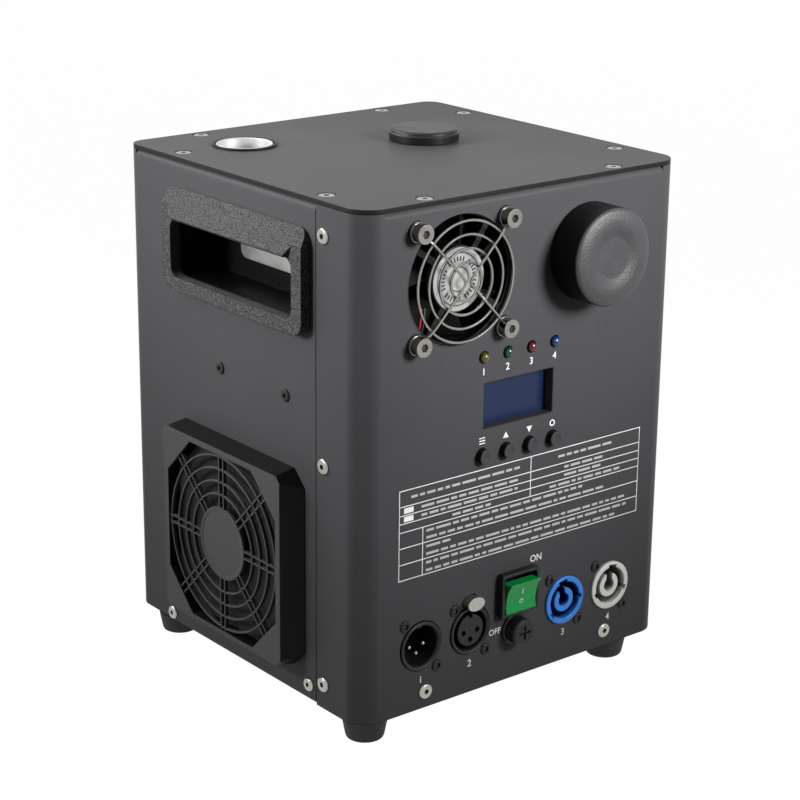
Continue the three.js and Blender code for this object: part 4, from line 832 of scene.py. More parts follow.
def lidPlate():
    h, l = housing, lid
    w, d, f, r = h["halfWidth"], h["halfDepth"], h["frontBend"], h["rearBend"]
    outline = arc(w - r, d - r, r, 0, quarter, 12) + arc(-w + r, d - r, r, quarter, 2 * quarter, 12)
    outline += arc(-w + f, -d + f, f, 2 * quarter, 3 * quarter, 14)
    outline += arc(w - f, -d + f, f, 3 * quarter, 4 * quarter, 14)
    places = fourCorners(*l["side"]) + fourCorners(*l["end"])
    holes = [ring(l["screw"], x, y, 32) for x, y in places]
    holes += [ring(l[key], *spots[key], 64) for key in ("nozzle", "filler")]
    made = plate("lidPlate", "lid", (0, 0), outline, holes, -l["thick"], 0, "coatedLid", l["edge"])
    screws("lidScrews", "lid", places, "countersunk", out=-0.15)
    # painted shade on the lid's edge walls
    return sided(made, "lid", "lidEdge")


standsFor(frontShell(), "charcoal_coat", "front_shell")
standsFor(rearShell(), "charcoal_coat", "rear_shell")
standsFor(lidPlate(), "lid_coat", "top_cover")
print("housing made")

# the bright and black screws of the sheets
sheetScrews = {
    "seam": [(-64.5, 231.7), (-64.5, 127.5), (-64.5, 22.2)], "low": [(-53.3, 18.0), (60.3, 14.6)],
    "black": [(14.9, 153.3), (-36.5, 153.3)],
}
screws("frontScrews", "front", [(-56.4, 18.2), (55.8, 18.1)], "buttonHead")
for side in ("left", "right"):
    screws(side + "SeamScrews", side, sheetScrews["seam"], "buttonHead")
    screws(side + "LowScrews", side, sheetScrews["low"], "buttonHead", size=0.9)
    blacks = (side, sheetScrews["black"], "buttonHead", "blackScrew", 0.8)
    screws(side + "BlackScrews", *blacks, slotName="charcoal_coat")

# feet
foot = {"top": 10.6, "bottom": 9.0, "height": 9.75, "edge": 1.2, "recess": 4.0, "depth": 6.0}
footPlaces = {
    "front_left": (-83, -81), "front_right": (67, -81), "rear_left": (-83, 71), "rear_right": (67, 71),
}
footProfile = [
    (0, -foot["depth"]), (foot["recess"], -foot["depth"]), (foot["recess"], 0),
    (foot["bottom"] - foot["edge"] * 0.5, 0), (foot["bottom"], -foot["edge"]),
    (foot["top"], -foot["height"]), (0, -foot["height"]),
]
footScrew = [(0, 1.6), (2.8, 1.6), (3.6, 0.9), (3.6, 0.1), (0, 0.1)]
for name, place in footPlaces.items():
    rubber = turned("foot_" + name + "_rubber", "below", place, footProfile, "rubberFoot", 0.8, 48)
    standsFor(rubber, "rubber", "foot_" + name)
    profile = [(x, out - foot["depth"]) for x, out in footScrew]
    standsFor(turned("foot_" + name + "_screw", "below", place, profile, "screwSteel", 0.3, 32), "steel")


# handles: the same shape as the solid, with moulded edges
def mouldedCopy(name, node, material, edge, segments=3):
    build = bmesh.new()
    build.from_mesh(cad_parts[node].data)
    bmesh.ops.remove_doubles(build, verts=build.verts, dist=0.01 * mm)
    bmesh.ops.dissolve_limit(build, angle_limit=math.radians(1.0), verts=build.verts, edges=build.edges)
    made = eased(dressed(shown(name, meshFrom(build, name)), material), edge, segments, 28)
    smoothed(made.data, 40)
    return made


for side in ("left", "right"):
    shell = mouldedCopy(side + "HandleShell", side + "_handle", "handlePlastic", 0.9)
    standsFor(shell, "textured_plastic", side + "_handle")
    back = mouldedCopy(side + "GripBack", side + "_grip_plate", "brushedSteel", 0.2, 1)
    standsFor(back, "steel", side + "_grip_plate")
print("handles made")


# side fan grille, with its eight-cornered outlines as half along, half up and corner
grille = {
    "base": (52.0, 48.2, 8.0), "face": (47.2, 46.4, 3.0), "open": (43.8, 43.8, 19.0),
    "foam": (43.3, 43.3, 19.0), "lift": 0.3, "proud": 11.0, "low": 0.15, "disc": 17.8, "first": 24.1,
    "step": 6.2, "bar": 1.05, "thin": 0.75, "deep": 1.9, "apart": 3.4, "height": 9.3,
}


def cornered(along, up, corner, lift=0.0):
    x, y = along - corner, up - corner
    right = [(along, -y + lift), (along, y + lift), (x, up + lift), (-x, up + lift)]
    return right + [(-along, y + lift), (-along, -y + lift), (-x, -up + lift), (x, -up + lift)]


def grilleFrame():
    g = grille
    base, face = cornered(*g["base"], g["lift"]), cornered(*g["face"], g["lift"])
    opening = cornered(*g["open"])
    loops = [(base, g["low"]), (face, g["proud"]), (opening, g["proud"]), (opening, g["low"])]
    points = [(x, y, out) for loop, out in loops for x, y in loop]
    faces = []
    for row in range(4):
        one, two = row * 8, (row + 1) % 4 * 8
        faces += [(one + i, one + (i + 1) % 8, two + (i + 1) % 8, two + i) for i in range(8)]
    mesh = shaped("grilleFrame", points, faces)
    mesh.transform(frameAt("left", spots["sideFan"]))
    framed = eased(dressed(shown("grilleFrame", mesh), "grillePlastic"), 0.45, 3, 20)
    # the frame's sloping walls are painted near-black as shade
    return sided(framed, "left", "grilleSide")


def sideGrille():
    g = grille
    half, corner = g["open"][1:]
    values = {key.title(): g[key] for key in ("first", "step", "bar", "deep", "apart", "thin", "height")}
    values.update({"Rings": 4, "Spokes": 8, "Hub": g["disc"] - 0.6, "Across": half + 1.0})
    values["Corner"] = half * math.sqrt(2) - corner / math.sqrt(2) + 1.0
    bars = grown("grilleBars", grilleBars, "grillePlastic", values, "left", spots["sideFan"])
    r, out = g["disc"], g["height"] + g["deep"] / 2
    profile = [(0, out - g["deep"]), (r, out - g["deep"]), (r, out), (r - 1.4, out), (r - 1.9, out - 0.3)]
    profile.append((0, out - 0.3))
    disc = turned("grilleDisc", "left", spots["sideFan"], profile, "grillePlastic", 0.3, 72)
    return joined("sideGrille", [grilleFrame(), bars, disc])


standsFor(sideGrille(), "black_plastic", "side_fan_grille")
outline = cornered(*grille["foam"])
foam = plate("foamFilter", "left", spots["sideFan"], outline, [], 2.0, 5.0, "filterFoam", 0.3)
standsFor(foam, "ceramic_fibre", "side_fan_filter")
print("grille made")


# fans, drawn from the face of the frame
fanDepth, fanFace, flangeDeep = 25.0, -1.8, 3.5
fans = {
    "front": {
        "at": ("front", spots["fan"]), "size": 60.0, "duct": 28.7, "hub": 15.0, "pitch": 50.0,
        "hubOut": True,
    },
    "side": {
        "at": ("left", spots["sideFan"]), "size": 92.0, "duct": 44.0, "hub": 19.0, "pitch": 82.5,
        "hubOut": False,
    },
}
strut = {"count": 4, "turn": 0.18, "half": 1.6}
blade = {
    "count": 7, "rows": 9, "columns": 7, "wrap": 0.78, "sweep": 0.12, "bow": 1.1, "thick": 1.1, "inset": 0.8,
}


def fanFrame(name, f):
    at, half, face, back = f["at"], f["size"] / 2, fanFace, fanFace - fanDepth
    corners = fourCorners(f["pitch"] / 2, f["pitch"] / 2)
    holes = [ring(f["duct"], steps=72)] + [ring(frontHoles["fanScrew"], x, y, 24) for x, y in corners]
    outline = centredBox((half, half), 3)
    parts = []
    for low in (face - flangeDeep, back):
        parts.append(plate("flange", *at, outline, holes, low, low + flangeDeep, "fanPlastic", 0.3))
    inner, outer = f["duct"], f["duct"] + 1.6
    barrel = [(inner, back + 1), (outer, back + 1), (outer, face - 1), (inner, face - 1), (inner, back + 1)]
    parts.append(turned("barrel", *at, barrel, "fanPlastic", 0, 72))
    low, high = (face - 3.0, face) if f["hubOut"] else (back, back + 3)
    hub = [(0, low), (f["hub"], low), (f["hub"], high), (0, high)]
    parts.append(turned("hubPlate", *at, hub, "fanPlastic", 0.4, 72))
    for i in range(strut["count"]):
        turn = quarter / 2 + quarter * i + strut["turn"]
        outline = spoke(turn, f["hub"] - 1, f["duct"] + 0.8, strut["half"])
        parts.append(eased(prism(*at, outline, low, high, "fanPlastic", "strut"), 0.4))
    return joined(name, parts)


def bladeShape(f, low, high):
    # one curved blade as a grid of points, given thickness
    b = blade
    rows, columns = b["rows"], b["columns"]
    points, faces = [], []
    for i in range(rows):
        out = i / (rows - 1)
        r = f["hub"] - b["inset"] + (f["duct"] - 1.0 - f["hub"] + b["inset"]) * out
        for j in range(columns):
            t = j / (columns - 1) - 0.5
            angle = t * b["wrap"] + b["sweep"] * out
            z = (low + high) / 2 + t * (high - low) * 0.9 + b["bow"] * math.cos(t * math.pi)
            points.append((r * math.cos(angle), r * math.sin(angle), z))
    for i in range(rows - 1):
        for k in range(i * columns, (i + 1) * columns - 1):
            faces.append((k, k + 1, k + columns + 1, k + columns))
    made = dressed(shown("blade", shaped("blade", points, faces, outward=False)), "fanPlastic")
    thick = made.modifiers.new("thick", "SOLIDIFY")
    thick.thickness = b["thick"]
    thick.offset = 0
    return settled(made)


def fanBlades(name, f):
    at = f["at"]
    front, back = fanFace - blade["inset"], fanFace - fanDepth + blade["inset"]
    low, high = (back, fanFace - flangeDeep) if f["hubOut"] else (fanFace - fanDepth + flangeDeep, front)
    cup = turned("cup", *at, [(0, low), (f["hub"], low), (f["hub"], high), (0, high)], "fanPlastic", 0.6, 72)
    one = bladeShape(f, low, high)
    values = {"Shape": one, "Count": blade["count"], "Turn": math.tau / blade["count"]}
    wheel = grown("blades", repeats, "fanPlastic", values, *at)
    bpy.data.objects.remove(one)
    return joined(name, [cup, wheel])


for key, f in fans.items():
    standsFor(fanFrame(key + "FanFrame", f), "black_plastic", key + "_fan_frame")
    body = key + "_fan_impeller"
    standsFor(fanBlades(key + "FanBlades", f), "black_plastic", body, body=body)

# the plain metallic label on the front fan's hub: two thin rings and short marks that spell nothing
label = {
    "radius": 14.3, "rings": (11.6, 5.2), "line": 0.45, "places": 34, "run": 7, "marks": (8.0, 10.2),
    "half": 0.42, "under": -0.1, "over": 0.15, "mark": (0.1, 0.2),
}
low, high = (fanFace + label[key] for key in ("under", "over"))
profile = [(0, low), (label["radius"], low), (label["radius"], high), (0, high)]
standsFor(turned("hubLabel", *fans["front"]["at"], profile, "hubLabel", 0.05, 72), "steel")
low, high = (fanFace + out for out in label["mark"])
for i, r in enumerate(label["rings"]):
    wide = r + label["line"]
    profile = [(r, low), (wide, low), (wide, high), (r, high), (r, low)]
    line = turned("hubLabelRing%d" % i, *fans["front"]["at"], profile, "innerDark", 0, 72)
    standsFor(line, "black_plastic")
marks = []
for i in range(label["places"]):
    if (i + 1) % label["run"]:
        outline = spoke(math.tau * i / label["places"], *label["marks"], label["half"])
        marks.append(prism(*fans["front"]["at"], outline, low, high, "innerDark", "labelMark"))
standsFor(joined("hubLabelMarks", marks), "black_plastic")


# the wire guard; ends lead a crossing wire inwards, as shares of the pitch and heights over the panel
guard = {
    "first": 8.7, "step": 6.15, "wire": 0.62, "ringOut": 3.6, "bowOut": 4.9, "waist": (3.4, 2.9),
    "cross": 0.9, "ends": [(1, 1.9), (0.9, 2.6), (0.8, 4.9), (0.5, 4.9)],
    "eye": [(2.2, 0.9), (4.6, 0.9), (4.6, 1.5), (2.2, 1.5), (2.2, 0.9)],
    "washer": [(2.2, 0.02), (5.0, 0.02), (5.0, 0.85), (2.2, 0.85), (2.2, 0.02)],
    "head": [(0, -8.5), (1.9, -8.5), (1.9, 1.5), (4.35, 1.5), (4.35, 6.3), (0, 6.3)], "recess": (2.0, 3.6, 8),
}


def bentWire(name, points, radius, material, side, centre=(0, 0)):
    curve = bpy.data.curves.new(name, "CURVE")
    curve.dimensions = "3D"
    curve.bevel_depth = radius
    curve.bevel_resolution = 3
    curve.use_fill_caps = True
    spline = curve.splines.new("NURBS")
    spline.points.add(len(points) - 1)
    for point, place in zip(spline.points, points):
        point.co = (*place, 1)
    spline.order_u = 3
    spline.use_endpoint_u = True
    spline.resolution_u = 8
    made = fromCurve(name, curve, material, side, centre)
    made.name = name
    return made


def wireGuard():
    g, centre = guard, spots["fan"]
    values = {"Rings": 4, "First": g["first"], "Step": g["step"], "Wire": g["wire"], "Height": g["ringOut"]}
    parts = [grown("guardRings", wireRings, "brightPlate", values, "front", centre)]
    p, (x, y), out = fanPitch, g["waist"], g["bowOut"]
    for sign in (-1, 1):
        upper = [(sign * p * share, p * share, height) for share, height in g["ends"]] + [(sign * x, y, out)]
        lower = [(along, -up, height) for along, up, height in upper[::-1]]
        points = upper + [(sign * g["cross"], 0, out)] + lower
        parts.append(bentWire("guardBow", points, g["wire"], "brightPlate", "front", centre))
    half, low, high = g["recess"]
    for x, y in fourCorners(p, p):
        at = besides(("front", centre), x, y)
        eye = turned("guardEye", *at, g["eye"], "brightPlate", 0.15, 40)
        washer = turned("guardWasher", *at, g["washer"], "blackPlastic", 0.15, 40)
        head = turned("guardScrew", *at, g["head"], "brightPlate", 0.35, 48)
        parts += [eye, washer, carved(head, [prism(*at, ring(half, steps=6), low, high)])]
    return joined("wireGuard", parts)


standsFor(wireGuard(), "bright_plate", "front_fan_guard")

# the fan's two leads, which show at the lower left behind the guard
leadRoute = [(-58.6, 199.0, -4.0), (-59.4, 193.0, -3.2), (-61.2, 187.4, -3.4), (-61.8, 183.6, -6.0)]
for name, material, aside in (("redFanLead", "redLead", 0.0), ("darkFanLead", "darkLead", 1.9)):
    points = [(x + aside, y, out) for x, y, out in leadRoute]
    standsFor(bentWire(name, points, 0.55, material, "front"), "rubber")
print("fans made")


# clean-out cap
cap = {"radius": 22.8, "proud": 18.8, "flat": 12.4, "bore": 16.0, "floor": 7.2}
r, out = cap["radius"], cap["proud"]
profile = [(0, cap["floor"]), (cap["bore"], cap["floor"]), (cap["bore"], 0.3), (r, 0.3), (r, out - 2.3)]
profile += [(r - 1.3, out - 1.0), (r - 4.6, out - 0.2), (r - 7.4, out), (cap["flat"], out - 0.5)]
profile += [(cap["flat"] - 3.0, out - 1.3), (0, out - 1.4)]
frontCap = turned("frontCap", "front", spots["port"], profile, "capPlastic", 1.0, 96)
# painted shade on the cap's side walls
standsFor(sided(frontCap, "front", "capSide"), "black_plastic", "clean_out_cap", body="clean_out_cap")


# lights, buttons and display
lights = {
    "ready_light": ("lensYellow", "lens_yellow"), "signal_light": ("lensGreen", "lens_green"),
    "fault_light": ("lensRed", "lens_red"), "heat_light": ("lensBlue", "lens_blue"),
}
dome = [(2.4 * math.cos(t), 0.4 + 2.0 * math.sin(t)) for t in (quarter * i / 8 for i in range(8))]
lensProfile = [(0, -9.4), (3.2, -9.4), (3.2, -1.85), (2.4, -1.85)] + dome + [(0, 2.4)]
for (node, (material, slotName)), x in zip(lights.items(), columns):
    lens = turned(node + "_lens", "front", (x, heights["light"]), lensProfile, material, 0, 40)
    standsFor(lens, slotName, node)

buttonProfile = [
    (0, -8.0), (2.6, -8.0), (2.6, -3.1), (4.6, -3.1), (4.6, -1.85), (3.45, -1.85), (3.45, 3.3), (2.9, 3.45),
    (1.6, 3.2), (0, 3.1),
]
for node, x in zip(("menu_button", "up_button", "down_button", "enter_button"), columns):
    top = turned(node + "_top", "front", (x, heights["button"]), buttonProfile, "buttonFace", 0.25, 40)
    # painted shade on the buttons' side walls
    standsFor(sided(top, "front", "capSide"), "black_plastic", node, body=node)

display = {
    "half": (23.0, 13.0), "glass": (20.9, 10.8), "window": (21.2, 11.05), "liner": (20.85, 10.7),
    "low": -9.2, "face": -5.0,
}
d, at, face = display, ("front", spots["display"]), display["face"]
body = plate("displayBody", *at, square(*d["half"]), [], d["low"], face - 0.3, "innerDark", 0.1)
glass = plate("displayGlass", *at, centredBox(d["glass"], 0.4, 2), [], face - 0.3, face, "screen", 0.05)
standsFor(joined("displayUnit", [body, glass]), "display_glass", "display_module")
window = [centredBox(d["window"], 0.6, 3), [centredBox(d["liner"], 0.4, 3)]]
standsFor(plate("windowLiner", *at, *window, face + 0.05, -0.05, "innerDark", 0.05), "black_plastic")
print("controls made")


# round sockets: profiles about each socket's own middle
socket = {
    "flange": (13, 15.5), "screws": (9.5, 12), "rear": 9.5, "barrel": 11.8, "powerBarrel": 12.0,
    "way": (5.4, 3.8), "tab": (5.0, 3.4),
    "dmxIn": [(9.6, -15), (11.8, -15), (11.8, 0.6), (11.2, 0.95), (10.2, 0.6), (9.6, -0.6), (9.6, -15)],
    "dmxOut": [(9.75, -15), (11.8, -15), (11.8, 0.6), (11.2, 0.95), (10.3, 0.6), (9.75, -0.3), (9.75, -15)],
    "insert": [(0, -15), (7.7, -15), (7.7, 0.3), (0, 0.3)],
    "pin": [(0, -15), (1.2, -15), (1.2, -3.9), (0.7, -3.0), (0, -2.9)],
    "pinsAt": [(-4.1, -0.9), (4.1, -0.9), (0, -4.8)], "holesAt": [(-4.1, -0.6), (4.1, -0.6), (0, -4.6)],
    "power": [(9.2, -12.4), (12.0, -12.4), (12.0, 0.9), (11.6, 1.25), (9.6, 1.25), (9.2, 0.9), (9.2, -12.4)],
    "core": [(3.2, -12.4), (6.0, -12.4), (6.0, 0.2), (3.2, 0.2), (3.2, -12.4)],
    "floor": [(0, -14), (11.5, -14), (11.5, -12.2), (0, -12.2)],
    "keyways": [(0, 2.6), (2.05, 1.5), (-1.75, 1.1)],
}


def onFront(key):
    return ("front", (socketAt[key], heights["socket"]))


def socketBack(at, barrel):
    # the flange behind the panel and the stepped body
    hole = [ring(barrel - 0.3, steps=64)]
    flange = plate("flange", *at, centredBox(socket["flange"], 3), hole, -3.8, -1.8, "blackPlastic", 0.2)
    r = socket["rear"]
    steps = [(0, -30), (r, -30), (r, -24), (barrel, -24), (barrel, -14.5), (0, -14.5)]
    return [flange, turned("rear", *at, steps, "blackPlastic", 0.4, 64)]


def dmxInput():
    at = onFront("dmxIn")
    shell = turned("shell", *at, socket["dmxIn"], "blackPlastic", 0.25, 72)
    key = prism(*at, [(-1.2, 8.6), (1.2, 8.6), (1.2, 10.2), (-1.2, 10.2)], -14, -1.0, "blackPlastic", "key")
    parts = socketBack(at, socket["barrel"]) + [shell, key]
    for x, z in socket["pinsAt"]:
        parts.append(turned("pin", *besides(at, x, z), socket["pin"], "brightPlate", 0.2, 24))
    return joined("dmxInputSocket", parts)


def dmxOutput():
    at = onFront("dmxOut")
    shell = turned("shell", *at, socket["dmxOut"], "blackPlastic", 0.25, 72)
    insert = turned("insert", *at, socket["insert"], "blackPlastic", 0.35, 64)
    holes = [prism(*besides(at, x, z), ring(1.35, steps=24), -9, 2) for x, z in socket["holesAt"]]
    holes.append(prism(*at, [(-1.0, 6.2), (1.0, 6.2), (1.0, 8.2), (-1.0, 8.2)], -9, 2))
    insert = carved(insert, holes)
    flange, rear = socketBack(at, socket["barrel"])
    # the latch's way through the shell and the flange
    way = oval(socket["way"], 0, latchUp)
    shell, flange = (carved(part, [prism(*at, way, -8.4, 3)]) for part in (shell, flange))
    return joined("dmxOutputSocket", [flange, rear, shell, insert])


def powerInlet(name, at, material, turn):
    # an outer ring with three keyways round a C-shaped core
    shell = turned("shell", *at, socket["power"], material, 0.2, 96)
    keys = [prism(*at, spoke(turn + more, 8, 10.6, half), -11, 3) for more, half in socket["keyways"]]
    shell = carved(shell, keys)
    core = turned("core", *at, socket["core"], material, 0.2, 72)
    core = carved(core, [prism(*at, spoke(turn + 0.1, 0, 9, 1.9), -11, 3)])
    floor = turned("floor", *at, socket["floor"], material, 0, 64)
    return joined(name, [shell, core, floor] + socketBack(at, socket["powerBarrel"]))


def depthTinted(name):
    # painted shade: the moulded plastic's colour darkens with depth inside the recess, between the rings
    made = look[name].copy()
    made.name = name + "Deep"
    net = Net(made.node_tree)
    shader = next(n for n in made.node_tree.nodes if n.type == "BSDF_PRINCIPLED")
    before = Value(net, shader.inputs["Base Color"].links[0].from_socket)
    y = net.node("SeparateXYZ", {0: net.node("TexCoord", output=3)}, 1)
    start, end = ((middle.y - reach["front"] + depth) * mm for depth in recessShadeRange)
    deep = net.node("MapRange", {0: y, 1: start, 2: end, 3: 0.0, 4: 1.0})
    tint = net.mix(deep, before, colour(finishes[name]["depthTint"]))
    made.node_tree.links.new(tint.socket, shader.inputs["Base Color"])
    return made


# the power sockets' plastics, with painted shade deepening into their recesses
look["blueDeep"] = depthTinted("bluePlastic")
look["greyDeep"] = depthTinted("greyPlastic")
standsFor(dmxInput(), "black_plastic", "dmx_in_socket")
standsFor(dmxOutput(), "black_plastic", "dmx_out_socket")
powerIn = powerInlet("powerInSocket", onFront("powerIn"), "blueDeep", 1.75)
standsFor(powerIn, "blue_plastic", "power_in_socket")
powerOut = powerInlet("powerOutSocket", onFront("powerOut"), "greyDeep", 1.45)
standsFor(powerOut, "grey_plastic", "power_out_socket")
tabAt = besides(onFront("dmxOut"), 0, latchUp)
tab = plate("latchTab", *tabAt, oval(socket["tab"], steps=40), [], -5.9, 4.5, "screwSteel", 0.5)
standsFor(tab, "steel", "dmx_out_latch", body="dmx_out_latch")
along, up = socket["screws"]
places = [(x + sign * along, heights["socket"] - sign * up) for x in socketAt.values() for sign in (-1, 1)]
screws("socketScrews", "front", places, "smallHead", "blackScrew", 1.05, slotName="black_plastic")
print("sockets made")


# rocker switch; section is half of the key's, as up and out
rocker = {
    "frame": (11.6, 10.8), "well": (9.6, 9.0), "box": (10.4, 9.8), "tab": (3, 0.4), "out": 4.3,
    "pivot": 1.0, "tilt": 11.0, "half": 9.25,
    "section": [(0, 4.7), (4.2, 4.95), (7.4, 6.3), (8.0, 6.1), (7.9, 5.4), (7.0, 4.2), (6.3, 0), (0, -5)],
    "markOut": 4.76, "markSlope": 0.06, "tabs": (-6, 0, 6),
}


def rockerFrame():
    r = rocker
    at = ("front", spots["rocker"])
    well, box = [centredBox(r["well"], 0.5, 3)], centredBox(r["box"], 0.4, 3)
    parts = [
        plate("rim", *at, centredBox(r["frame"], 1.3, 6), well, 0.1, r["out"], "blackPlastic", 0.5),
        plate("box", *at, box, well, -7.2, 0.2, "blackPlastic", 0.1),
        plate("back", *at, box, [], -18, -7.1, "blackPlastic", 0.3),
    ]
    outline = centredBox(r["tab"], 0.2, 2)
    for up in r["tabs"]:
        parts.append(plate("tab", *besides(at, 0, up), outline, [], -25, -17.9, "brightPlate", 0.1))
    return joined("rockerFrame", parts)


def onPivot():
    # from the key's own axes, as it rests, to the frame
    x, z = spots["rocker"]
    pivot = Vector((x, rocker["pivot"] - reach["front"], z)) + middle
    lean = Matrix.Rotation(math.radians(rocker["tilt"]), 4, "X")
    return Matrix.Translation(pivot * mm) @ millimetres @ lean


def rockerKey():
    # a two-sided key with a ridge at each end
    r = rocker
    half = [(p.x, p.y) for p in softened(r["section"], 0.35)]
    section = half + [(-x, y) for x, y in half[::-1]][1:-1]
    ends = ([(x, -(out + r["pivot"]), up) for up, out in section] for x in (-r["half"], r["half"]))
    mesh = extruded("rockerKey", *ends)
    mesh.transform(onPivot())
    return eased(dressed(shown("rockerKey", mesh), "switchGreen"), 0.35, 3, 40)


def onKey(name, outline, holes, up):
    # a printed mark that lies on the key
    r = rocker
    mark = plate(name, "lid", (0, 0), outline, holes, 0, 0.06, "whitePrint", 0.01)
    mark.data.transform(frameAt("lid").inverted())
    slope = r["markSlope"]
    place = Matrix.Translation((0, -(r["markOut"] + abs(up) * slope + r["pivot"]), up))
    mark.data.transform(onPivot() @ place @ Matrix.Rotation(quarter - math.copysign(slope, up), 4, "X"))
    return mark


standsFor(rockerFrame(), "black_plastic", "rocker_housing")
standsFor(rockerKey(), "green_plastic", "power_rocker", body="power_rocker")
offMark = onKey("offMark", ring(1.2, steps=32), [ring(0.85, steps=32)], -2.9)
onMark = onKey("onMark", centredBox((0.25, 1.4), 0.1, 2), [], 2.6)
for mark in (offMark, onMark):
    standsFor(mark, "grey_plastic", body="power_rocker")


# fuse holder
fuse = {
    "holder": [
        (0, -30), (5.9, -30), (5.9, 0.15), (7.6, 0.15), (7.6, 1.3), (7.2, 1.6), (4.6, 1.6), (4.6, -28),
        (0, -28),
    ],
    "cap": [(0, -4), (4.2, -4), (4.2, 1.9), (6.6, 1.9), (6.6, 7.0), (5.9, 8.1), (0, 8.1)],
    "link": [(0, -24.3), (2.5, -24.3), (2.5, -4.3), (0, -4.3)], "slot": (3.5, 0.6), "slotFloor": 6.9,
}
at = ("front", spots["fuse"])
standsFor(turned("fuseHolder", *at, fuse["holder"], "blackPlastic", 0.15, 56), "black_plastic", "fuse_holder")
slots = [prism(*at, square(*half), fuse["slotFloor"], 10) for half in (fuse["slot"], fuse["slot"][::-1])]
knob = carved(turned("fuseCap", *at, fuse["cap"], "blackPlastic", 0.5, 64), slots)
standsFor(knob, "black_plastic", "fuse_cap", body="fuse_cap")
link = turned("fuseLink", *at, fuse["link"], "fuseGlass", 0.3, 32)
standsFor(link, "fuse_glass", "fuse_link", body="fuse_link")
print("switch and fuse made")


# lid fittings; the feed's way enters the tube from the filler's side
lidFittings = {
    "ring": [
        (13.95, -2.4), (14.6, -2.4), (14.6, 0.15), (15.4, 0.15), (15.4, 0.75), (15.0, 1.0), (13.95, 1.0),
        (13.95, -2.4),
    ],
    "tube": [
        (12.4, 0.55), (12.4, -126.7), (13.6, -126.7), (13.6, 0.7), (13.25, 1.0), (12.75, 1.0), (12.4, 0.55),
    ],
    "cap": [
        (0, 2.9), (15.3, 2.9), (15.3, 0.3), (16.9, 0.3), (16.9, 3.9), (16.3, 4.3), (16.0, 5.4), (15.2, 6.0),
        (0, 6.0),
    ],
    "neck": [
        (12.5, -5.3), (20, -5.3), (20, -2.3), (14.7, -2.3), (14.7, 2.2), (14.3, 2.6), (12.9, 2.6), (12.5, 2.2),
        (12.5, -5.3),
    ],
    "feedHole": 7.3, "feedUp": 171,
}
at = ("lid", spots["nozzle"])
# the collar is near-black all over, in the finish that elsewhere is painted shade on side walls
collar = turned("nozzleRing", *at, lidFittings["ring"], "capSide", 0.1, 96)
standsFor(collar, "black_plastic", "nozzle_collar")
tube = turned("nozzleTube", *at, lidFittings["tube"], "nozzleSteel", 0.1, 96)
cutter = prism("lid", (0, 0), ring(lidFittings["feedHole"], steps=32), 5, 20)
start = Vector((*spots["nozzle"], lidFittings["feedUp"])) + middle
towards = Vector((*spots["filler"], 0)) - Vector((*spots["nozzle"], 0))
aim = towards.to_track_quat("Z", "Y").to_matrix().to_4x4()
cutter.data.transform(Matrix.Translation(start * mm) @ aim @ millimetres @ frameAt("lid").inverted())
standsFor(carved(tube, [cutter]), "steel", "heating_tube")
at = ("lid", spots["filler"])
# painted shade on the powder cap's side walls
powderCap = sided(turned("powderCap", *at, lidFittings["cap"], "fillerTop", 0.45, 96), "lid", "capSide")
standsFor(powderCap, "black_plastic", "powder_cap", body="powder_cap")
standsFor(turned("fillerNeck", *at, lidFittings["neck"], "aluminium", 0.15, 72), "aluminium", "filler_neck")
print("lid fittings made")


# printed marks: ON and OFF, plain numbers, simple shapes and a ruled table without words
def printed(name, outlines, holes):
    parts = []
    for outline, hole in zip(outlines, holes):
        parts.append(plate("mark", "front", (0, 0), outline, hole, 0.02, 0.06, "whitePrint", 0.01))
    standsFor(joined(name, parts), "grey_plastic")


def words(name, text, centre, size):
    curve = bpy.data.curves.new(name, "FONT")
    curve.body = text
    curve.size = size
    curve.align_x, curve.align_y = "CENTER", "CENTER"
    curve.extrude = 0.02
    curve.resolution_u = 4
    curve.offset = 0.04
    made = fromCurve(name, curve, "whitePrint", "front", centre, 0.05)
    made.name = name
    standsFor(made, "grey_plastic")


words("markOn", "ON", (9.8, 67.4), 4.7)
words("markOff", "OFF", (-14.8, 36.2), 4.2)
for i, x in enumerate(columns, 1):
    words("lightNumber%d" % i, str(i), (x, heights["lightNumber"]), 4.6)
for i, x in enumerate(socketAt.values(), 1):
    words("socketNumber%d" % i, str(i), (x, heights["socketNumber"]), 4.8)


def buttonMarks():
    # three bars, a point upwards, a point downwards and a ring
    z = heights["buttonMark"]
    first, second, third, fourth = columns
    bars = [centredBox((1.7, 0.25), 0.1, 2, first, z + up) for up in (-1.3, 0, 1.3)]
    upwards = [(second - 1.7, z - 1.3), (second + 1.7, z - 1.3), (second, z + 1.6)]
    downwards = [(third, z - 1.6), (third + 1.7, z + 1.3), (third - 1.7, z + 1.3)]
    outlines = bars + [upwards, downwards, ring(1.6, fourth, z, 32)]
    printed("buttonMarks", outlines, [[], [], [], [], [], [ring(1.0, fourth, z, 32)]])


# the table's rules and, as start, end and height, the rows of bars where its writing was
table = {
    "left": -72.8, "right": 74.7, "low": 75.9, "high": 118.9, "rows": [111.2, 107.0, 103.1, 99.1, 91.5, 83.7],
    "ledge": -59.3, "divide": 4.7, "line": 0.4, "boxes": (109.1, 105.1), "box": (2.7, 1.25), "boxAt": -67.3,
    "barHigh": 1.15, "barThick": 0.04, "barLong": (2.2, 8.5), "gap": 1.3, "least": 1.5, "seed": 4,
    "bars": [
        (-66, -2, 115.0), (22, 56, 115.0), (-60, -3, 109.1), (26, 52, 109.1), (-60, -3, 105.1),
        (26, 52, 105.1), (-42, -18, 101.0), (17, 62, 101.0), (-57, 38, 97.0), (-57, 54, 93.6),
        (-57, -43, 89.4), (-57, 66, 85.8), (-57, 70, 81.6), (-57, 62, 77.9),
    ],
}


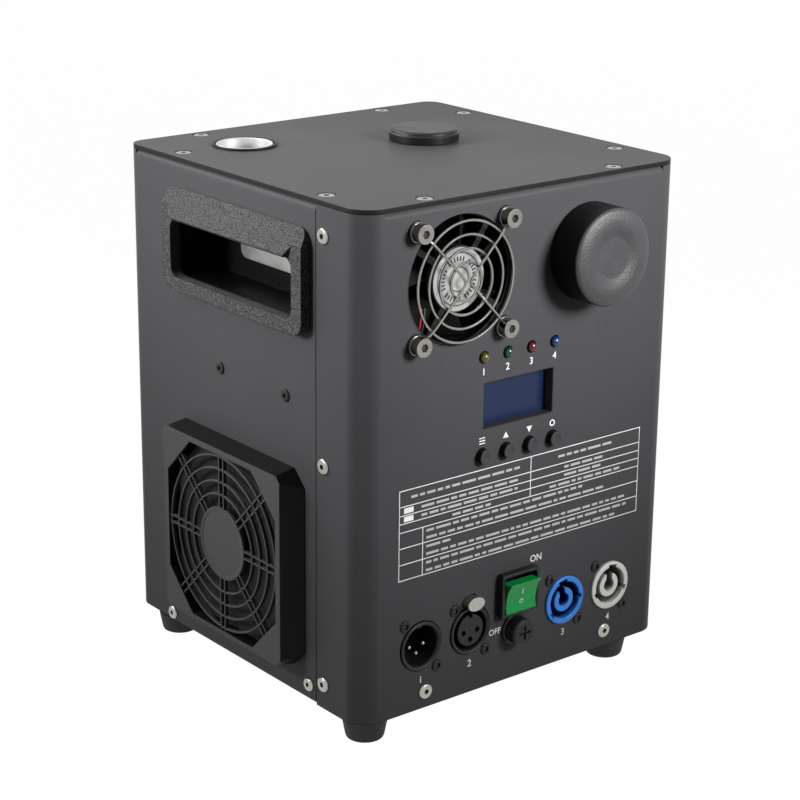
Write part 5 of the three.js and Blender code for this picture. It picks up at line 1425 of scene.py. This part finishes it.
def ruledTable():
    t = table
    w = t["line"]
    marks = [roundedBox(t["left"], t["right"], z - w / 2, z + w / 2, w * 0.4, 1) for z in t["rows"]]
    for x, low, high in ((t["ledge"], t["low"], t["rows"][3]), (t["divide"], t["rows"][3], t["high"])):
        marks.append(roundedBox(x, x + w, low, high, w * 0.4, 1))
    marks += [centredBox(t["box"], 0.2, 1, t["boxAt"], z) for z in t["boxes"]]
    borders = []
    for inset in (0, w):
        left, right = t["left"] + inset, t["right"] - inset
        low, high = t["low"] + inset, t["high"] - inset
        borders.append([(left, low), (right, low), (right, high), (left, high)])
    printed("ruledTable", borders[:1] + marks, [borders[1:]] + [[] for _ in marks])
    chance = random.Random(t["seed"])
    places, lengths = [], []
    for start, end, z in t["bars"]:
        x = start
        while x < end - t["least"]:
            long = min(chance.uniform(*t["barLong"]), end - x)
            places.append((x + long / 2, z, t["barThick"]))
            lengths.append(long)
            x += long + t["gap"]
    mesh = bpy.data.meshes.new("tableBars")
    mesh.from_pydata(places, [], [])
    mesh.attributes.new("long", "FLOAT", "POINT").data.foreach_set("value", lengths)
    values = {"High": t["barHigh"], "Thick": t["barThick"]}
    standsFor(grown("tableBars", barRows, "dimPrint", values, "front", seedMesh=mesh), "grey_plastic")


def studMarks():
    # the faint rings that the welded studs leave in the paint
    parts = []
    for place in ((-47.2, 173.2), (47.0, 173.2), (-46.6, 70.4), (47.0, 70.0)):
        outline, hole = (ring(r, *place, 6) for r in (3.5, 3.1))
        parts.append(plate("studMark", "front", (0, 0), outline, [hole], 0.01, 0.07, "coatedSheet", 0.01))
    standsFor(joined("studMarks", parts), "charcoal_coat")


studMarks()
buttonMarks()
ruledTable()
print("marks made")


# what shows only through gaps keeps its solid, with a finish of its own
carried = {
    "coatedSheet": "base_pan", "rubberFoot": "clean_out_seal fan_lead", "turnedSteel": "feed_auger",
    "circuitBoard": "control_board power_board", "aluminium": "clean_out_neck hopper auger_housing heat_sink",
    "brushedSteel": "feed_motor air_duct blower_bracket", "ceramicWrap": "insulation_sleeve",
    "copperTube": "induction_coil", "blackPlastic": "blower_housing", "fanPlastic": "blower_wheel",
}
for material, nodes in carried.items():
    for node in nodes.split():
        dressed(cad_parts[node], material)
for pattern in screwKinds.values():
    bpy.data.objects.remove(pattern)


# stage: pale floor, white surround and soft lamps, as place, aim, size, spread and power; lengths are metres
stage = {
    "half": 6, "floor": "#a6a6a6", "rough": 0.9, "floorGlow": 0.8, "glow": 1.22, "world": 0.06,
    "lamps": {
        "frontLamp": ((0.20, -0.62, 0.44), (0.02, -0.09, 0.265), 0.24, 50, 0.82),
        "sideLamp": ((-0.60, 0.22, 0.44), (-0.094, 0.0, 0.265), 0.24, 50, 0.64),
        "backLamp": ((-0.3, 0.5, 0.6), (-0.04, 0.05, 0.25), 0.4, 100, 0.95),
    },
}


rayKinds = ("Camera", "Glossy", "Transmission")


def seenDirectly(net):
    # one for what the camera, a gloss or a glass sees
    paths = net.make("LightPath")
    seen, gloss, glass = (Value(net, paths.outputs["Is %s Ray" % kind]) for kind in rayKinds)
    return seen.maths("MAXIMUM", gloss).maths("MAXIMUM", glass)


def addFloor(s):
    h = s["half"]
    floor = shown("floor", shaped("floor", [(x, y, 0) for x, y in square(h, h)], [range(4)], outward=False))
    net = Finish("paleFloor")
    matte = net.node("BsdfPrincipled", {"Base Color": colour(s["floor"]), "Roughness": s["rough"]})
    bright = net.node("Emission", {"Color": (1, 1, 1, 1), "Strength": s["glow"]})
    blend = net.node("MixShader", {0: seenDirectly(net) * s["floorGlow"], 1: matte, 2: bright})
    net.make("OutputMaterial", {0: blend})
    floor.data.materials.append(net.material)


def addSurround(s):
    world = bpy.data.worlds.new("surround")
    bpy.context.scene.world = world
    world.use_nodes = True
    world.node_tree.nodes.clear()
    net = Net(world.node_tree)
    strength = seenDirectly(net) * (1.0 - s["world"]) + s["world"]
    net.make("OutputWorld", {0: net.node("Background", {"Color": (1, 1, 1, 1), "Strength": strength})})


def addLamp(name, place, aim, size, spread, power):
    data = bpy.data.lights.new(name, "AREA")
    data.shape = "DISK"
    data.size = size
    data.energy = power
    data.spread = math.radians(spread)
    lamp = shown(name, data)
    lamp.location = place
    lamp.rotation_euler = (Vector(aim) - lamp.location).to_track_quat("-Z", "Y").to_euler()


addFloor(stage)
addSurround(stage)
for name, settings in stage["lamps"].items():
    addLamp(name, *settings)
print("stage made")

bpy.context.view_layer.update()
